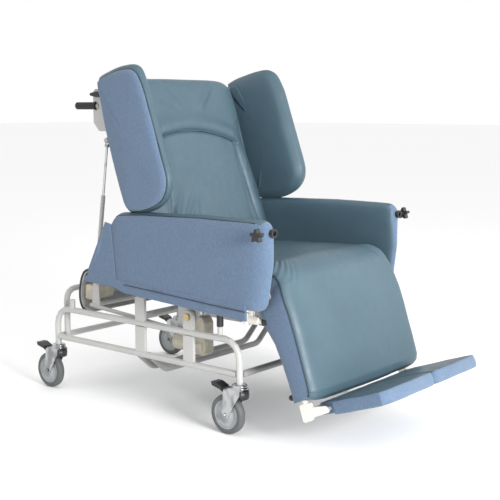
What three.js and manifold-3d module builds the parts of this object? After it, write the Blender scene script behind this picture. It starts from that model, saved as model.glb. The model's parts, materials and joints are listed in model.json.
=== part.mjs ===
// Reclining care chair on a castor base: tilting seat, reclining back, lifting leg rest.
// Millimetres, +Z up. The sitter faces -Y, and +X is the sitter's left.
// The origin is on the floor, mid-length.
import * as THREE from "three";
import { mergeVertices } from "three/addons/utils/BufferGeometryUtils.js";
import Module from "manifold-3d";

const wasm = await Module();
wasm.setup();

// ---------------------------------------------------------------- driving dimensions
const FIT = 0.3; // gap between pieces that touch
const WELD = 0.02; // slivers finer than this are closed up
const TUBE_R = 12.7; // 1 inch frame tube
const TRACK_X = 372; // castor stems from the middle plane
const REAR_STEM_Y = 730;
const FRONT_STEM_Y = -273;
const LEG_FOOT_Z = 196; // lower end of the frame legs, on the castor heads
const LOW_RAIL_Z = 230;
const TOP_RAIL_Z = 353;
const POST_WIDTH = 50; // flat uprights between and above the rails
const POST_THICK = 14;
const REAR_POST_Y = 232;
const REAR_POST_TOP = 455;
const TILT = { y: -25, z: 412 }; // seat tilt pivot, on the front pair of uprights
const RECLINE = { y: 200, z: 515 }; // back hinge
const KNEE = { y: -352, z: 572 }; // leg rest hinge, centre of the rounded seat nose
const KNEE_R = 85;
const STOP_Y = -174; // rest stops under the seat frame, on the top rails
const STOP_TOP = 470;
const SWAN_Y = [180, 250]; // two dropped cross tubes that carry the tilt drive
const SWAN_Z = 160;

const WHEEL_R = 75;
const WHEEL_W = 32;
const WHEEL_SIDES = 24; // a flat of the tread rests on the floor
const AXLE_Z = WHEEL_R * Math.cos(Math.PI / WHEEL_SIDES);
const TRAIL = 55;

const BACK_SLOPE = 0.3; // rearward run per unit of height: 16.7 degrees of lean
const LEG_LEAN = THREE.MathUtils.degToRad(19.5); // leg rest from the vertical
const FOOT_RISE = THREE.MathUtils.degToRad(20); // footplate, front edge up
const SOFT_INNER_X = 388; // arm pads, from the middle plane
const SOFT_OUTER_X = 450;
const CUSHION_X = 352; // half width of the seat cushion's core
const SEAT_TUBE_Z = 485;
const SEAT_TUBE_X = 338;
const BACK_TUBE_X = 335;
const LEG_TUBE_X = 330;

// ---------------------------------------------------------------- materials
const finish = (color, roughness, metalness = 0) => ({ color, roughness, metalness });
const PAINT = finish(0xc9c8c4, 0.45, 0.2);
const CREAM = finish(0xe4e0d4, 0.5);
const BEIGE = finish(0xc9c2aa, 0.55);
const CHROME = finish(0xd5d8da, 0.2, 1);
const BRASS = finish(0xb9975a, 0.35, 0.9);
const RUBBER = finish(0x1d1d1e, 0.8);
const PLASTIC = finish(0x222326, 0.5);
const GREY_TYRE = finish(0x7e8082, 0.7);
const VINYL = finish(0x64818c, 0.45);
const CLOTH = finish(0x7189ac, 0.9);

// ---------------------------------------------------------------- solids
// three.js geometry with shared vertices as a manifold solid, and back again.
function solid(geometry) {
  const plain = (geometry.index ? geometry.toNonIndexed() : geometry).clone();
  plain.deleteAttribute("normal");
  plain.deleteAttribute("uv");
  const merged = mergeVertices(plain, 1e-3);
  return new wasm.Manifold(
    new wasm.Mesh({
      numProp: 3,
      vertProperties: merged.attributes.position.array,
      triVerts: new Uint32Array(merged.index.array),
    }),
  );
}

function geometryOf(body) {
  const mesh = body.getMesh();
  return new THREE.BufferGeometry()
    .setAttribute("position", new THREE.BufferAttribute(mesh.vertProperties, 3))
    .setIndex(new THREE.BufferAttribute(mesh.triVerts, 1));
}

function join(...pieces) {
  return geometryOf(pieces.map(solid).reduce((all, piece) => all.add(piece)).simplify(WELD));
}

function cut(piece, ...tools) {
  const left = tools.map(solid).reduce((rest, tool) => rest.subtract(tool), solid(piece));
  return geometryOf(left.simplify(WELD));
}

// A path whose points are used exactly as given, so straight runs cost no steps.
class Route extends THREE.Curve {
  constructor(points) {
    super();
    this.points = points;
  }
  getPointAt(u) {
    const place = u * (this.points.length - 1);
    const i = Math.min(Math.round(place), this.points.length - 1);
    return this.points[i].clone();
  }
  getTangentAt(u) {
    const i = Math.round(u * (this.points.length - 1));
    const before = this.points[Math.max(i - 1, 0)];
    const after = this.points[Math.min(i + 1, this.points.length - 1)];
    const here = this.points[i];
    const into = here.clone().sub(before).normalize();
    const out = after.clone().sub(here).normalize();
    return into.add(out).normalize();
  }
}

// Corner points with every inner corner turned into an arc of the given radius.
function rounded(corners, radius, steps = 4) {
  const points = [corners[0].clone()];
  for (let i = 1; i < corners.length - 1; i++) {
    const back = corners[i - 1].clone().sub(corners[i]).normalize();
    const on = corners[i + 1].clone().sub(corners[i]).normalize();
    const half = back.angleTo(on) / 2;
    const reach = radius / Math.tan(half);
    const start = corners[i].clone().addScaledVector(back, reach);
    const end = corners[i].clone().addScaledVector(on, reach);
    const bisector = back.clone().add(on).normalize();
    const centre = corners[i].clone().addScaledVector(bisector, radius / Math.sin(half));
    const from = start.clone().sub(centre);
    const to = end.clone().sub(centre);
    const turn = from.angleTo(to);
    for (let k = 0; k <= steps; k++) {
      const a = (turn * k) / steps;
      const arm = from.clone().multiplyScalar(Math.sin(turn - a)).addScaledVector(to, Math.sin(a));
      points.push(centre.clone().add(arm.divideScalar(Math.sin(turn))));
    }
  }
  points.push(corners.at(-1).clone());
  return points;
}

function circle(radius, sides) {
  const shape = new THREE.Shape();
  for (let i = 0; i < sides; i++) {
    const a = (2 * Math.PI * (i + 0.5)) / sides;
    const x = radius * Math.cos(a);
    const y = radius * Math.sin(a);
    if (i === 0) shape.moveTo(x, y);
    else shape.lineTo(x, y);
  }
  shape.closePath();
  return shape;
}

// A round bar along corner points [x, y, z], bent to a radius at each corner.
function tube(corners, radius = TUBE_R, bend = 60, sides = 10) {
  const ends = corners.map((c) => new THREE.Vector3(...c));
  const points = ends.length > 2 ? rounded(ends, bend) : ends;
  return new THREE.ExtrudeGeometry(circle(radius, sides), {
    steps: points.length - 1,
    extrudePath: new Route(points),
  });
}

// A round bar with its axis along X, Y or Z.
function rod(axis, from, to, a, b, radius, sides = 12) {
  const place = { X: (t) => [t, a, b], Y: (t) => [a, t, b], Z: (t) => [a, b, t] }[axis];
  return tube([place(from), place(to)], radius, 0, sides);
}

function block(x0, x1, y0, y1, z0, z1) {
  const box = new THREE.BoxGeometry(x1 - x0, y1 - y0, z1 - z0);
  return box.translate((x0 + x1) / 2, (y0 + y1) / 2, (z0 + z1) / 2);
}

// A side outline [[y, z], ...] with its corners rounded.
function outline(corners, radius = 0, steps = 1) {
  if (!radius) return new THREE.Shape(corners.map(([y, z]) => new THREE.Vector2(y, z)));
  const flat = corners.map(([y, z]) => new THREE.Vector3(y, z, 0));
  const points = [];
  flat.forEach((corner, i) => {
    const before = flat.at(i - 1);
    const after = flat[(i + 1) % flat.length];
    const reach = Math.min(corner.distanceTo(before), corner.distanceTo(after)) / 2.05;
    const half = before.clone().sub(corner).angleTo(after.clone().sub(corner)) / 2;
    const r = Math.min(radius, reach * Math.tan(half));
    points.push(...rounded([before, corner, after], r, steps).slice(1, -1));
  });
  return new THREE.Shape(points.map((p) => new THREE.Vector2(p.x, p.y)));
}

// A side outline carried across from x0 to x1, with its long edges softened.
const TO_SIDE = new THREE.Matrix4().makeBasis(
  new THREE.Vector3(0, 1, 0),
  new THREE.Vector3(0, 0, 1),
  new THREE.Vector3(1, 0, 0),
);
function slab(shape, x0, x1, soft = 0) {
  const body = new THREE.ExtrudeGeometry(shape, {
    depth: x1 - x0 - 2 * soft,
    bevelEnabled: soft > 0,
    bevelThickness: soft,
    bevelSize: soft,
    bevelOffset: -soft,
    bevelSegments: 2,
    curveSegments: 6,
  });
  return body.applyMatrix4(TO_SIDE).translate(x0 + soft, 0, 0);
}

function disc(y, z, radius, x0, x1, sides = 12) {
  return rod("X", x0, x1, y, z, radius, sides);
}

// Points beside the leg rest: s runs down it from the knee, n out of its front face.
function onLeg(s, n) {
  const down = [-Math.sin(LEG_LEAN), -Math.cos(LEG_LEAN)];
  const out = [-Math.cos(LEG_LEAN), Math.sin(LEG_LEAN)];
  return [KNEE.y + s * down[0] + n * out[0], KNEE.z + s * down[1] + n * out[1]];
}

const FOOT_HINGE = onLeg(481, 122);

// Points on the footplate: d runs out to its front edge, h up out of its tread.
function onFoot(d, h) {
  const ahead = [-Math.cos(FOOT_RISE), Math.sin(FOOT_RISE)];
  const up = [Math.sin(FOOT_RISE), Math.cos(FOOT_RISE)];
  return [FOOT_HINGE[0] + d * ahead[0] + h * up[0], FOOT_HINGE[1] + d * ahead[1] + h * up[1]];
}

// Points on the back: at height z, and this far behind the front of its cushion.
function onBack(z, behind) {
  return [247 + BACK_SLOPE * (z - 1080) + behind, z];
}

const chair = new THREE.Group();

function add(name, geometry, look, parent = chair) {
  const mesh = new THREE.Mesh(geometry, new THREE.MeshStandardMaterial(look));
  mesh.name = name;
  parent.add(mesh);
  return mesh;
}

// Right and left copies of a piece that is drawn on the -X side.
function addPair(name, geometry, look) {
  add(name + "_right", geometry, look);
  add(name + "_left", geometry.clone(), look).scale.x = -1;
}

// ---------------------------------------------------------------- castor base
function sideFrame() {
  const x = -TRACK_X;
  const hoop = tube(
    [
      [x, REAR_STEM_Y, LEG_FOOT_Z],
      [x, REAR_STEM_Y, TOP_RAIL_Z],
      [x, FRONT_STEM_Y, TOP_RAIL_Z],
      [x, FRONT_STEM_Y, LEG_FOOT_Z],
    ],
    TUBE_R,
    70,
  );
  const inner = x - POST_THICK / 2;
  const outer = x + POST_THICK / 2;
  const half = POST_WIDTH / 2;
  const rearPost = block(inner, outer, REAR_POST_Y - half, REAR_POST_Y + half, TOP_RAIL_Z, REAR_POST_TOP);
  const pivotPost = join(
    block(inner, outer, TILT.y - half, TILT.y + half, TOP_RAIL_Z, TILT.z),
    disc(TILT.y, TILT.z, half, inner, outer),
  );
  const stop = rod("Z", TOP_RAIL_Z, STOP_TOP - FIT, x + 7, STOP_Y, 10);
  const stub = rod("Z", TOP_RAIL_Z, 398, x, 634, 11);
  const bore = disc(TILT.y, TILT.z, 8 + FIT, inner - 5, outer + 5);
  return cut(join(hoop, rearPost, pivotPost, stop, stub), bore);
}

function lowerRail() {
  const x = -TRACK_X;
  const ends = TUBE_R + FIT;
  const rail = tube([
    [x, REAR_STEM_Y - ends, LOW_RAIL_Z],
    [x, FRONT_STEM_Y + ends, LOW_RAIL_Z],
  ]);
  const uprights = [REAR_POST_Y, TILT.y].map((y) =>
    block(
      x - POST_THICK / 2,
      x + POST_THICK / 2,
      y - POST_WIDTH / 2,
      y + POST_WIDTH / 2,
      LOW_RAIL_Z,
      TOP_RAIL_Z - TUBE_R - FIT,
    ),
  );
  return join(rail, ...uprights);
}

addPair("side_frame", sideFrame(), PAINT);
addPair("lower_rail", lowerRail(), PAINT);

const CROSS_X = TRACK_X - TUBE_R - FIT;
function crossTube(y, z, reach = CROSS_X, radius = TUBE_R) {
  const ends = [
    [-reach, y, z],
    [reach, y, z],
  ];
  return tube(ends, radius);
}
add("rear_cross_tube", crossTube(REAR_STEM_Y, LOW_RAIL_Z), PAINT);
add("front_cross_tube", crossTube(FRONT_STEM_Y, LOW_RAIL_Z), PAINT);
add("post_cross_tube", crossTube(REAR_POST_Y, 382, TRACK_X - POST_THICK / 2 - FIT), PAINT);

const REAR_HOOP = { x: 344, y: 703, foot: 219, top: 430 };
add(
  "rear_hoop",
  tube(
    [
      [-REAR_HOOP.x, REAR_HOOP.y, REAR_HOOP.foot],
      [-REAR_HOOP.x, REAR_HOOP.y, REAR_HOOP.top],
      [REAR_HOOP.x, REAR_HOOP.y, REAR_HOOP.top],
      [REAR_HOOP.x, REAR_HOOP.y, REAR_HOOP.foot],
    ],
    TUBE_R,
    45,
  ),
  PAINT,
);

// The dropped tubes leave the lower rails at an angle, run level, and come back up.
const DRIVE_X = -120; // the tilt drive stands a little to the right of the middle
const DRIVE_FOOT = { y: 215, z: 182 }; // its lower pivot
function swanTube(y) {
  const bend = [290, SWAN_Z];
  const rise = Math.atan2(LOW_RAIL_Z - SWAN_Z, TRACK_X - bend[0]);
  const reach = TUBE_R + FIT;
  const end = [TRACK_X - reach * Math.cos(rise), LOW_RAIL_Z - reach * Math.sin(rise)];
  return tube([
    [-end[0], y, end[1]],
    [-bend[0], y, bend[1]],
    [bend[0], y, bend[1]],
    [end[0], y, end[1]],
  ]);
}
function driveBracket() {
  const { y, z } = DRIVE_FOOT;
  const saddle = block(DRIVE_X - 20, DRIVE_X + 20, SWAN_Y[0] + TUBE_R + FIT, SWAN_Y[1], 150, 170);
  const shape = outline([[y - 12, 160], [y + 12, 160], [y + 8, z + 8], [y - 8, z + 8]]);
  const lug = slab(shape, DRIVE_X - 5, DRIVE_X + 5);
  return [saddle, lug, disc(y, z, 4, DRIVE_X - 18, DRIVE_X + 18)];
}
add("swan_tube_front", swanTube(SWAN_Y[0]), PAINT);
add("swan_tube_rear", join(swanTube(SWAN_Y[1]), ...driveBracket()), PAINT);

// ---------------------------------------------------------------- castors
// Each castor is drawn about its own stem, trailing towards +Y.
function castorFork() {
  const head = rod("Z", 178, LEG_FOOT_Z - FIT, 0, 0, 27, 18);
  const crown = block(-22, 22, -28, 34, 157, 180);
  const foot = [[TRAIL + 15, AXLE_Z + 8], [TRAIL, 60], [TRAIL - 14, 64]];
  const cheek = outline([[-28, 180], [34, 180], [60, 170], ...foot], 6);
  const axle = disc(TRAIL, AXLE_Z, 6, -24, 24);
  return join(head, crown, slab(cheek, -22, -18.5), slab(cheek, 18.5, 22), axle);
}

function castorWheel() {
  const half = WHEEL_W / 2;
  const bore = 6 + FIT;
  const profile = [
    [bore, -half - 1],
    [18, -half - 1],
    [20, -half + 4],
    [52, -half + 4],
    [56, -half],
    [67, -half],
    [WHEEL_R, -half + 7],
    [WHEEL_R, half - 7],
    [67, half],
    [56, half],
    [52, half - 4],
    [20, half - 4],
    [18, half + 1],
    [bore, half + 1],
    [bore, -half - 1],
  ];
  const points = profile.map(([r, w]) => new THREE.Vector2(r, w));
  const wheel = new THREE.LatheGeometry(points, WHEEL_SIDES, Math.PI / WHEEL_SIDES);
  return wheel.rotateZ(-Math.PI / 2).translate(0, TRAIL, AXLE_Z);
}

function brakePedal() {
  const arm = outline([[38, 158], [60, 156], [80, 164], [78, 176], [42, 174]]);
  const pad = outline([[72, 166], [116, 176], [121, 190], [100, 190], [70, 178]]);
  return join(slab(arm, -17, 17), slab(pad, -21, 21));
}

for (const [end, y] of [["front", FRONT_STEM_Y], ["rear", REAR_STEM_Y]]) {
  for (const [side, x] of [["right", -TRACK_X], ["left", TRACK_X]]) {
    const castor = new THREE.Group();
    castor.position.set(x, y, 0);
    chair.add(castor);
    add(`castor_fork_${end}_${side}`, castorFork(), CHROME, castor);
    add(`castor_wheel_${end}_${side}`, castorWheel(), GREY_TYRE, castor);
    add(`brake_pedal_${end}_${side}`, brakePedal(), PLASTIC, castor);
  }
}

// ---------------------------------------------------------------- tilting seat
const SEAT_REAR_Y = 135; // rear cross tube of the seat frame, which the tilt drive holds
const SEAT_FRONT_Y = -290;
const LEG_DRIVE_X = 60;
const LEG_DRIVE_ROOT = { y: 20, z: 415 };

function seatFrame() {
  const z = SEAT_TUBE_Z;
  const ring = [
    tube([[-SEAT_TUBE_X, SEAT_FRONT_Y, z], [-SEAT_TUBE_X, SEAT_REAR_Y + 20, z]]),
    tube([[SEAT_TUBE_X, SEAT_FRONT_Y, z], [SEAT_TUBE_X, SEAT_REAR_Y + 20, z]]),
    ...[SEAT_FRONT_Y + 14, LEG_DRIVE_ROOT.y, SEAT_REAR_Y].map((y) => crossTube(y, z, SEAT_TUBE_X, 11.5)),
  ];
  const hingeLug = outline([[110, 474], [160, 474], [222, 505], [214, 530], [190, 533], [120, 498]], 8);
  const kneeLug = outline(
    [[-300, 476], [-262, 476], [-262, 496], [-330, 580], [-345, 592], [-368, 585], [-370, 562]],
    8,
  );
  const brackets = [-1, 1].flatMap((side) => {
    const across = (x0, x1) => (side < 0 ? [-x1, -x0] : [x0, x1]);
    const ledge = (y0, y1, z0) => block(...across(330, 387), y0, y1, z0, z0 + 9);
    const cleat = (y0, y1, z0) => block(...across(381, SOFT_INNER_X - FIT), y0, y1, z0, z0 + 80);
    return [
      slab(hingeLug, ...across(348.4, 354)),
      disc(RECLINE.y, RECLINE.z, 6, ...across(324, 352), 12),
      slab(kneeLug, ...across(360.5, 366)),
      block(...across(338, 364), -296, -270, 478, 492),
      disc(KNEE.y, KNEE.z, 6, ...across(353, 364), 16),
      ledge(-200, -150, STOP_TOP),
      cleat(-200, -150, STOP_TOP),
      ledge(60, 100, 478),
      cleat(60, 100, 478),
    ];
  });
  const tiltLug = slab(outline([[120, 480], [150, 480], [144, 452], [126, 452]]), DRIVE_X - 5, DRIVE_X + 5);
  const legLug = slab(outline([[5, 480], [35, 480], [29, 406], [11, 406]]), LEG_DRIVE_X - 5, LEG_DRIVE_X + 5);
  const legPin = disc(LEG_DRIVE_ROOT.y, LEG_DRIVE_ROOT.z, 4, LEG_DRIVE_X - 18, LEG_DRIVE_X + 18);
  return join(...ring, ...brackets, tiltLug, legLug, legPin);
}
add("seat_frame", seatFrame(), PAINT);

// Lower half of the tilting frame: pivot plates, side rails, and the strut feet at the rear.
const STRUT_FOOT = { y: 520, z: 478 };
const STRUT_X = 340;
function tiltFrame() {
  const plate = outline(
    [[-52, 472.4], [48, 472.4], [44, 330], [14, 330], [-8, 388], [-50, 396], [-53, 430]],
    9,
  );
  const parts = [-1, 1].flatMap((side) => {
    const across = (x0, x1) => (side < 0 ? [-x1, -x0] : [x0, x1]);
    const foot = outline([[500, 372], [548, 372], [534, 492], [506, 492]], 9);
    return [
      slab(plate, ...across(346, 354)),
      tube([[side * STRUT_X, 24, 341], [side * STRUT_X, 555, 381]], 9),
      slab(foot, ...across(STRUT_X - 3, STRUT_X + 3)),
      disc(STRUT_FOOT.y, STRUT_FOOT.z, 4, ...across(STRUT_X - 12, STRUT_X + 12), 12),
    ];
  });
  const bar = tube([[-STRUT_X, 545, 380], [STRUT_X, 545, 380]], 9);
  const holes = [-1, 1].map((side) =>
    disc(TILT.y, TILT.z, 8 + FIT, side * 350 - 8, side * 350 + 8, 20),
  );
  return cut(join(...parts, bar), ...holes);
}
add("tilt_frame", tiltFrame(), PAINT);

function pivotBolt() {
  const shank = disc(TILT.y, TILT.z, 8, -382, -342, 20);
  const hex = disc(TILT.y, TILT.z, 14, -388, -TRACK_X - POST_THICK / 2 - FIT, 6);
  const nut = disc(TILT.y, TILT.z, 14, -346 + FIT, -336, 6);
  return join(shank, hex, nut);
}
addPair("pivot_bolt", pivotBolt(), BRASS);

// Seat cushion with a round nose about the knee axis.
function seatCushion() {
  const shape = new THREE.Shape();
  const meet = Math.asin((KNEE.z - 498) / KNEE_R);
  shape.moveTo(80, 498);
  shape.lineTo(KNEE.y + KNEE_R * Math.cos(meet), 498);
  shape.absarc(KNEE.y, KNEE.z, KNEE_R, -meet, -1.5 * Math.PI, true);
  shape.lineTo(80, 648);
  shape.quadraticCurveTo(90, 646, 90, 636);
  shape.lineTo(90, 508);
  shape.quadraticCurveTo(90, 498, 80, 498);
  return slab(shape, -CUSHION_X, CUSHION_X);
}
add("seat_cushion", seatCushion(), VINYL);

const SOCKET = { x: 408, z: 764, depth: 64 };
const ARM_FRONT_Y = -452;
function armPad() {
  const shape = outline(
    [
      [-438, 500],
      [ARM_FRONT_Y, 640],
      [-449, 806],
      [-150, 804],
      [150, 797],
      [278, 786],
      [330, 745],
      [304, 524],
    ],
    24,
  );
  const bore = rod("Y", ARM_FRONT_Y - 10, ARM_FRONT_Y + SOCKET.depth + 6, -SOCKET.x, SOCKET.z, 13);
  return cut(slab(shape, -SOFT_OUTER_X, -SOFT_INNER_X, 14), bore);
}
addPair("arm", armPad(), CLOTH);

function traySocket() {
  const y0 = ARM_FRONT_Y - 4;
  const sleeve = rod("Y", y0, ARM_FRONT_Y + SOCKET.depth, -SOCKET.x, SOCKET.z, 12.5);
  const flange = rod("Y", y0 - 4, ARM_FRONT_Y - FIT, -SOCKET.x, SOCKET.z, 16);
  const bore = rod("Y", y0 - 10, ARM_FRONT_Y + SOCKET.depth + 5, -SOCKET.x, SOCKET.z, 9.5);
  return cut(join(sleeve, flange), bore);
}
addPair("tray_socket", traySocket(), PLASTIC);

const STAR = { y: -437, z: 761, head: 25 };
function starKnob() {
  const shape = new THREE.Shape();
  const lobes = 5;
  const steps = 30;
  for (let i = 0; i < steps; i++) {
    const a = (2 * Math.PI * i) / steps;
    const r = STAR.head - 6 + 6 * Math.cos(lobes * a);
    const y = STAR.y + r * Math.sin(a);
    const z = STAR.z + r * Math.cos(a);
    if (i === 0) shape.moveTo(y, z);
    else shape.lineTo(y, z);
  }
  const stem = disc(STAR.y, STAR.z, 8, -470, -SOFT_OUTER_X - FIT);
  return join(slab(shape, -487, -466), stem);
}
addPair("star_knob", starKnob(), PLASTIC);

// Cloth valance under the arm, running back into the gusset beside the back rest.
function sideSkirt() {
  const shape = outline([
    [-365, 453],
    [240, 479],
    [300, 498],
    [477, 504],
    [424, 562],
    [376, 630],
    [344, 740],
    [331.5, 740],
    [305.5, 522],
    [-365, 500.5],
  ]);
  return slab(shape, -SOFT_OUTER_X, -SOFT_OUTER_X + 8);
}
addPair("side_skirt", sideSkirt(), CLOTH);

// Curved rear cover, open to the front, hung on the rear bar of the tilting frame.
function rearCover() {
  const skin = 5;
  const outer = [[556, 527], [600, 512], [624, 462], [630, 398], [612, 360], [552, 348]];
  const inner = [[552, 353], [608, 364], [625, 400], [619, 460], [596, 508], [554, 522]];
  const wall = slab(outline([...outer, ...inner], 4, 2), -333, 333);
  const strap = block(-30, 30, 554.3, 626, 372, 372 + skin);
  return join(wall, strap);
}
add("rear_cover", rearCover(), PAINT);
add("control_box", slab(outline([[562, 395], [616, 395], [612, 460], [562, 460]], 8), -320, -205, 5), BEIGE);

// Stepped clamp under the front right corner of the seat, closed by a hand knob.
const CLAMP = { x: -352, z: 437 };
function accessoryClamp() {
  const flange = rod("Y", -288, -300, CLAMP.x, CLAMP.z, 24);
  const barrel = rod("Y", -298, -352, CLAMP.x, CLAMP.z, 16);
  const neck = rod("Y", -350, -364, CLAMP.x, CLAMP.z, 10);
  const hanger = block(CLAMP.x - 7, CLAMP.x + 7, -318, -304, CLAMP.z, 478 - FIT);
  const foot = block(CLAMP.x - 7, CLAMP.x + 7, -318, -291, 470, 478 - FIT);
  return join(flange, barrel, neck, hanger, foot);
}
add("accessory_clamp", accessoryClamp(), CREAM);
function clampKnob() {
  const grip = rod("Y", -370, -390, CLAMP.x, CLAMP.z, 16, 8);
  const collar = rod("Y", -364.3, -372, CLAMP.x, CLAMP.z, 9);
  return join(grip, collar);
}
add("clamp_knob", clampKnob(), PLASTIC);

// ---------------------------------------------------------------- reclining back
const BACK_TUBE = 119; // tube axis behind the cushion's front
const STRUT_HEAD = { y: 437, z: 1060 };
const GRIP = { x: 350, z: 1196, from: 482, to: 598 };

function backFrame() {
  const low = onBack(503, BACK_TUBE);
  const high = onBack(1270, BACK_TUBE);
  const loop = tube(
    [
      [-BACK_TUBE_X, ...low],
      [-BACK_TUBE_X, ...high],
      [BACK_TUBE_X, ...high],
      [BACK_TUBE_X, ...low],
    ],
    TUBE_R,
    60,
  );
  const rungs = [640, 900, 1130].map((z) => crossTube(...onBack(z, BACK_TUBE), BACK_TUBE_X));
  const sides = [-1, 1].flatMap((side) => {
    const across = (x0, x1) => (side < 0 ? [-x1, -x0] : [x0, x1]);
    const wingBar = (z) => {
      const shape = outline([onBack(z, 45), onBack(z, 125), onBack(z + 40, 125), onBack(z + 40, 45)]);
      return slab(shape, ...across(372.5, 377.5));
    };
    const wingArm = (z) => {
      const [y0, y1] = [onBack(z, 115)[0], onBack(z, 127)[0]];
      return block(...across(BACK_TUBE_X, 375), y0, y1, z + 8, z + 32);
    };
    const plate = outline([[376, 1096], [470, 1096], [502, 1130], [502, 1262], [424, 1262], [404, 1190]], 12);
    const lug = outline([[362, 1030], [430, 1048], [449, 1060], [440, 1074], [362, 1060]], 5);
    return [
      ...[860, 1190].flatMap((z) => [wingBar(z), wingArm(z)]),
      slab(plate, ...across(345, 353)),
      slab(lug, ...across(STRUT_X - 3, STRUT_X + 3)),
      rod("Y", 470, GRIP.to - 14, side * GRIP.x, GRIP.z, 9),
    ];
  });
  const bores = [-1, 1].map((side) => disc(RECLINE.y, RECLINE.z, 6 + FIT, side * 335 - 16, side * 335 + 16));
  return cut(join(loop, ...rungs, ...sides), ...bores);
}
add("back_frame", backFrame(), PAINT);

function backCushion() {
  const shape = outline([onBack(578, 0), onBack(578, 100), onBack(1311, 103), onBack(1311, 8)], 42);
  return slab(shape, -368, 368, 20);
}
add("back_cushion", backCushion(), VINYL);

function wing() {
  const shape = outline(
    [
      [390, 1293],
      [226, 1346],
      [152, 1326],
      [84, 1110],
      [22, 938],
      [42, 846],
      [140, 806],
      [216, 800],
      [250, 826],
      [306, 972],
      [357, 1142],
    ],
    34,
  );
  return slab(shape, -SOFT_OUTER_X, -378, 22);
}
addPair("wing", wing(), CLOTH);

function pushGrip() {
  const sleeve = rod("Y", GRIP.from, GRIP.to, -GRIP.x, GRIP.z, 15);
  const collar = rod("Y", GRIP.from, GRIP.from + 6, -GRIP.x, GRIP.z, 18);
  const bore = rod("Y", GRIP.from + 22, GRIP.to - 10, -GRIP.x, GRIP.z, 9 + FIT);
  const mouth = rod("Y", GRIP.from - 5, GRIP.from + 30, -GRIP.x, GRIP.z, 9 + FIT);
  return cut(join(sleeve, collar), bore, mouth);
}
const gripSeat = cut(
  pushGrip(),
  block(-GRIP.x - 5 - FIT, -GRIP.x + 5 + FIT, 460, 503, 1170, 1222),
);
addPair("push_grip", gripSeat, RUBBER);

const LEVER = { x: -362, y: 462, z: 1240 };
function releaseLever() {
  const paddle = outline([[452, 1232], [472, 1230], [506, 1236], [508, 1246], [470, 1252], [452, 1250]], 4);
  return slab(paddle, LEVER.x - 6, LEVER.x + 8, 2);
}
add("release_lever", releaseLever(), PLASTIC);

// Gas struts from the tilting frame's feet up to the back.
const STRUT_LENGTH = Math.hypot(STRUT_HEAD.y - STRUT_FOOT.y, STRUT_HEAD.z - STRUT_FOOT.z);
function onStrut(t, side) {
  const dy = (STRUT_HEAD.y - STRUT_FOOT.y) / STRUT_LENGTH;
  const dz = (STRUT_HEAD.z - STRUT_FOOT.z) / STRUT_LENGTH;
  return [side * STRUT_X, STRUT_FOOT.y + t * dy, STRUT_FOOT.z + t * dz];
}
const STRUT_BORE = 140;
const STRUT_MOUTH = 364;
function eye(centre, side, sign) {
  const cheeks = [4, -10].map((x) => {
    const middle = side * STRUT_X;
    const disk = disc(...centre, 10, middle + x, middle + x + 6);
    const towards = onStrut(sign > 0 ? 22 : STRUT_LENGTH - 22, side);
    const web = tube([[middle + x + 3, ...centre], [middle + x + 3, towards[1], towards[2]]], 3, 0, 8);
    return join(disk, web);
  });
  const from = onStrut(sign > 0 ? 16 : STRUT_LENGTH - 26, side);
  const to = onStrut(sign > 0 ? 26 : STRUT_LENGTH - 16, side);
  return [...cheeks, tube([from, to], 10, 0, 10)];
}
function strutCylinder(side) {
  const barrel = tube([onStrut(18, side), onStrut(STRUT_MOUTH, side)], 9, 0, 10);
  const bore = tube([onStrut(STRUT_BORE, side), onStrut(STRUT_MOUTH + 5, side)], 5.5, 0, 8);
  const hole = disc(STRUT_FOOT.y, STRUT_FOOT.z, 4 + FIT, side * STRUT_X - 20, side * STRUT_X + 20);
  return cut(join(barrel, ...eye([STRUT_FOOT.y, STRUT_FOOT.z], side, 1)), bore, hole);
}
function strutRod(side) {
  const bar = tube([onStrut(STRUT_MOUTH - 26, side), onStrut(STRUT_LENGTH - 18, side)], 5, 0, 8);
  return join(bar, ...eye([STRUT_HEAD.y, STRUT_HEAD.z], side, -1));
}
for (const [side, sign] of [["right", -1], ["left", 1]]) {
  add(`strut_cylinder_${side}`, strutCylinder(sign), PAINT);
  add(`strut_rod_${side}`, strutRod(sign), CHROME);
}

// ---------------------------------------------------------------- leg rest
const LEG_END = 437; // from the knee to the foot of the pad
const LEG_TUBE_N = 38;
const LEG_LEVER = onLeg(150, -40);

function legTube(x, s0, s1, radius, sides = 10) {
  return tube([[x, ...onLeg(s0, LEG_TUBE_N)], [x, ...onLeg(s1, LEG_TUBE_N)]], radius, 0, sides);
}
function legFrame() {
  const tubes = [-LEG_TUBE_X, LEG_TUBE_X].map((x) => legTube(x, 92, 432, 14));
  const rungs = [112, 400].map((s) => {
    const at = onLeg(s, 34);
    return tube([[-LEG_TUBE_X, ...at], [LEG_TUBE_X, ...at]], 9);
  });
  const ears = [-1, 1].flatMap((side) => {
    const across = (x0, x1) => (side < 0 ? [-x1, -x0] : [x0, x1]);
    const knee = [onLeg(20, -14), onLeg(-12, -14), onLeg(-12, 14)];
    const shape = outline([...knee, onLeg(96, 50), onLeg(132, 50), onLeg(132, 24)], 8);
    const [y, z] = onLeg(112, 34);
    return [slab(shape, ...across(354, 359.5)), block(...across(332, 356), y - 9, y + 9, z - 9, z + 9)];
  });
  const lever = slab(outline([onLeg(100, 34), onLeg(124, 34), onLeg(160, -44), onLeg(142, -50)], 4),
    LEG_DRIVE_X - 5, LEG_DRIVE_X + 5);
  const bores = [-LEG_TUBE_X, LEG_TUBE_X].map((x) => legTube(x, 180, 440, 11 + FIT));
  const pinHoles = [-1, 1].map((side) => disc(KNEE.y, KNEE.z, 6 + FIT, side * 356 - 8, side * 356 + 8));
  const onPlunger = (n) => [-LEG_TUBE_X, ...onLeg(418, LEG_TUBE_N + n)];
  const plungerHole = tube([onPlunger(-30), onPlunger(-10)], 5 + FIT, 0, 8);
  return cut(join(...tubes, ...rungs, ...ears, lever), ...bores, ...pinHoles, plungerHole);
}
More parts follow.
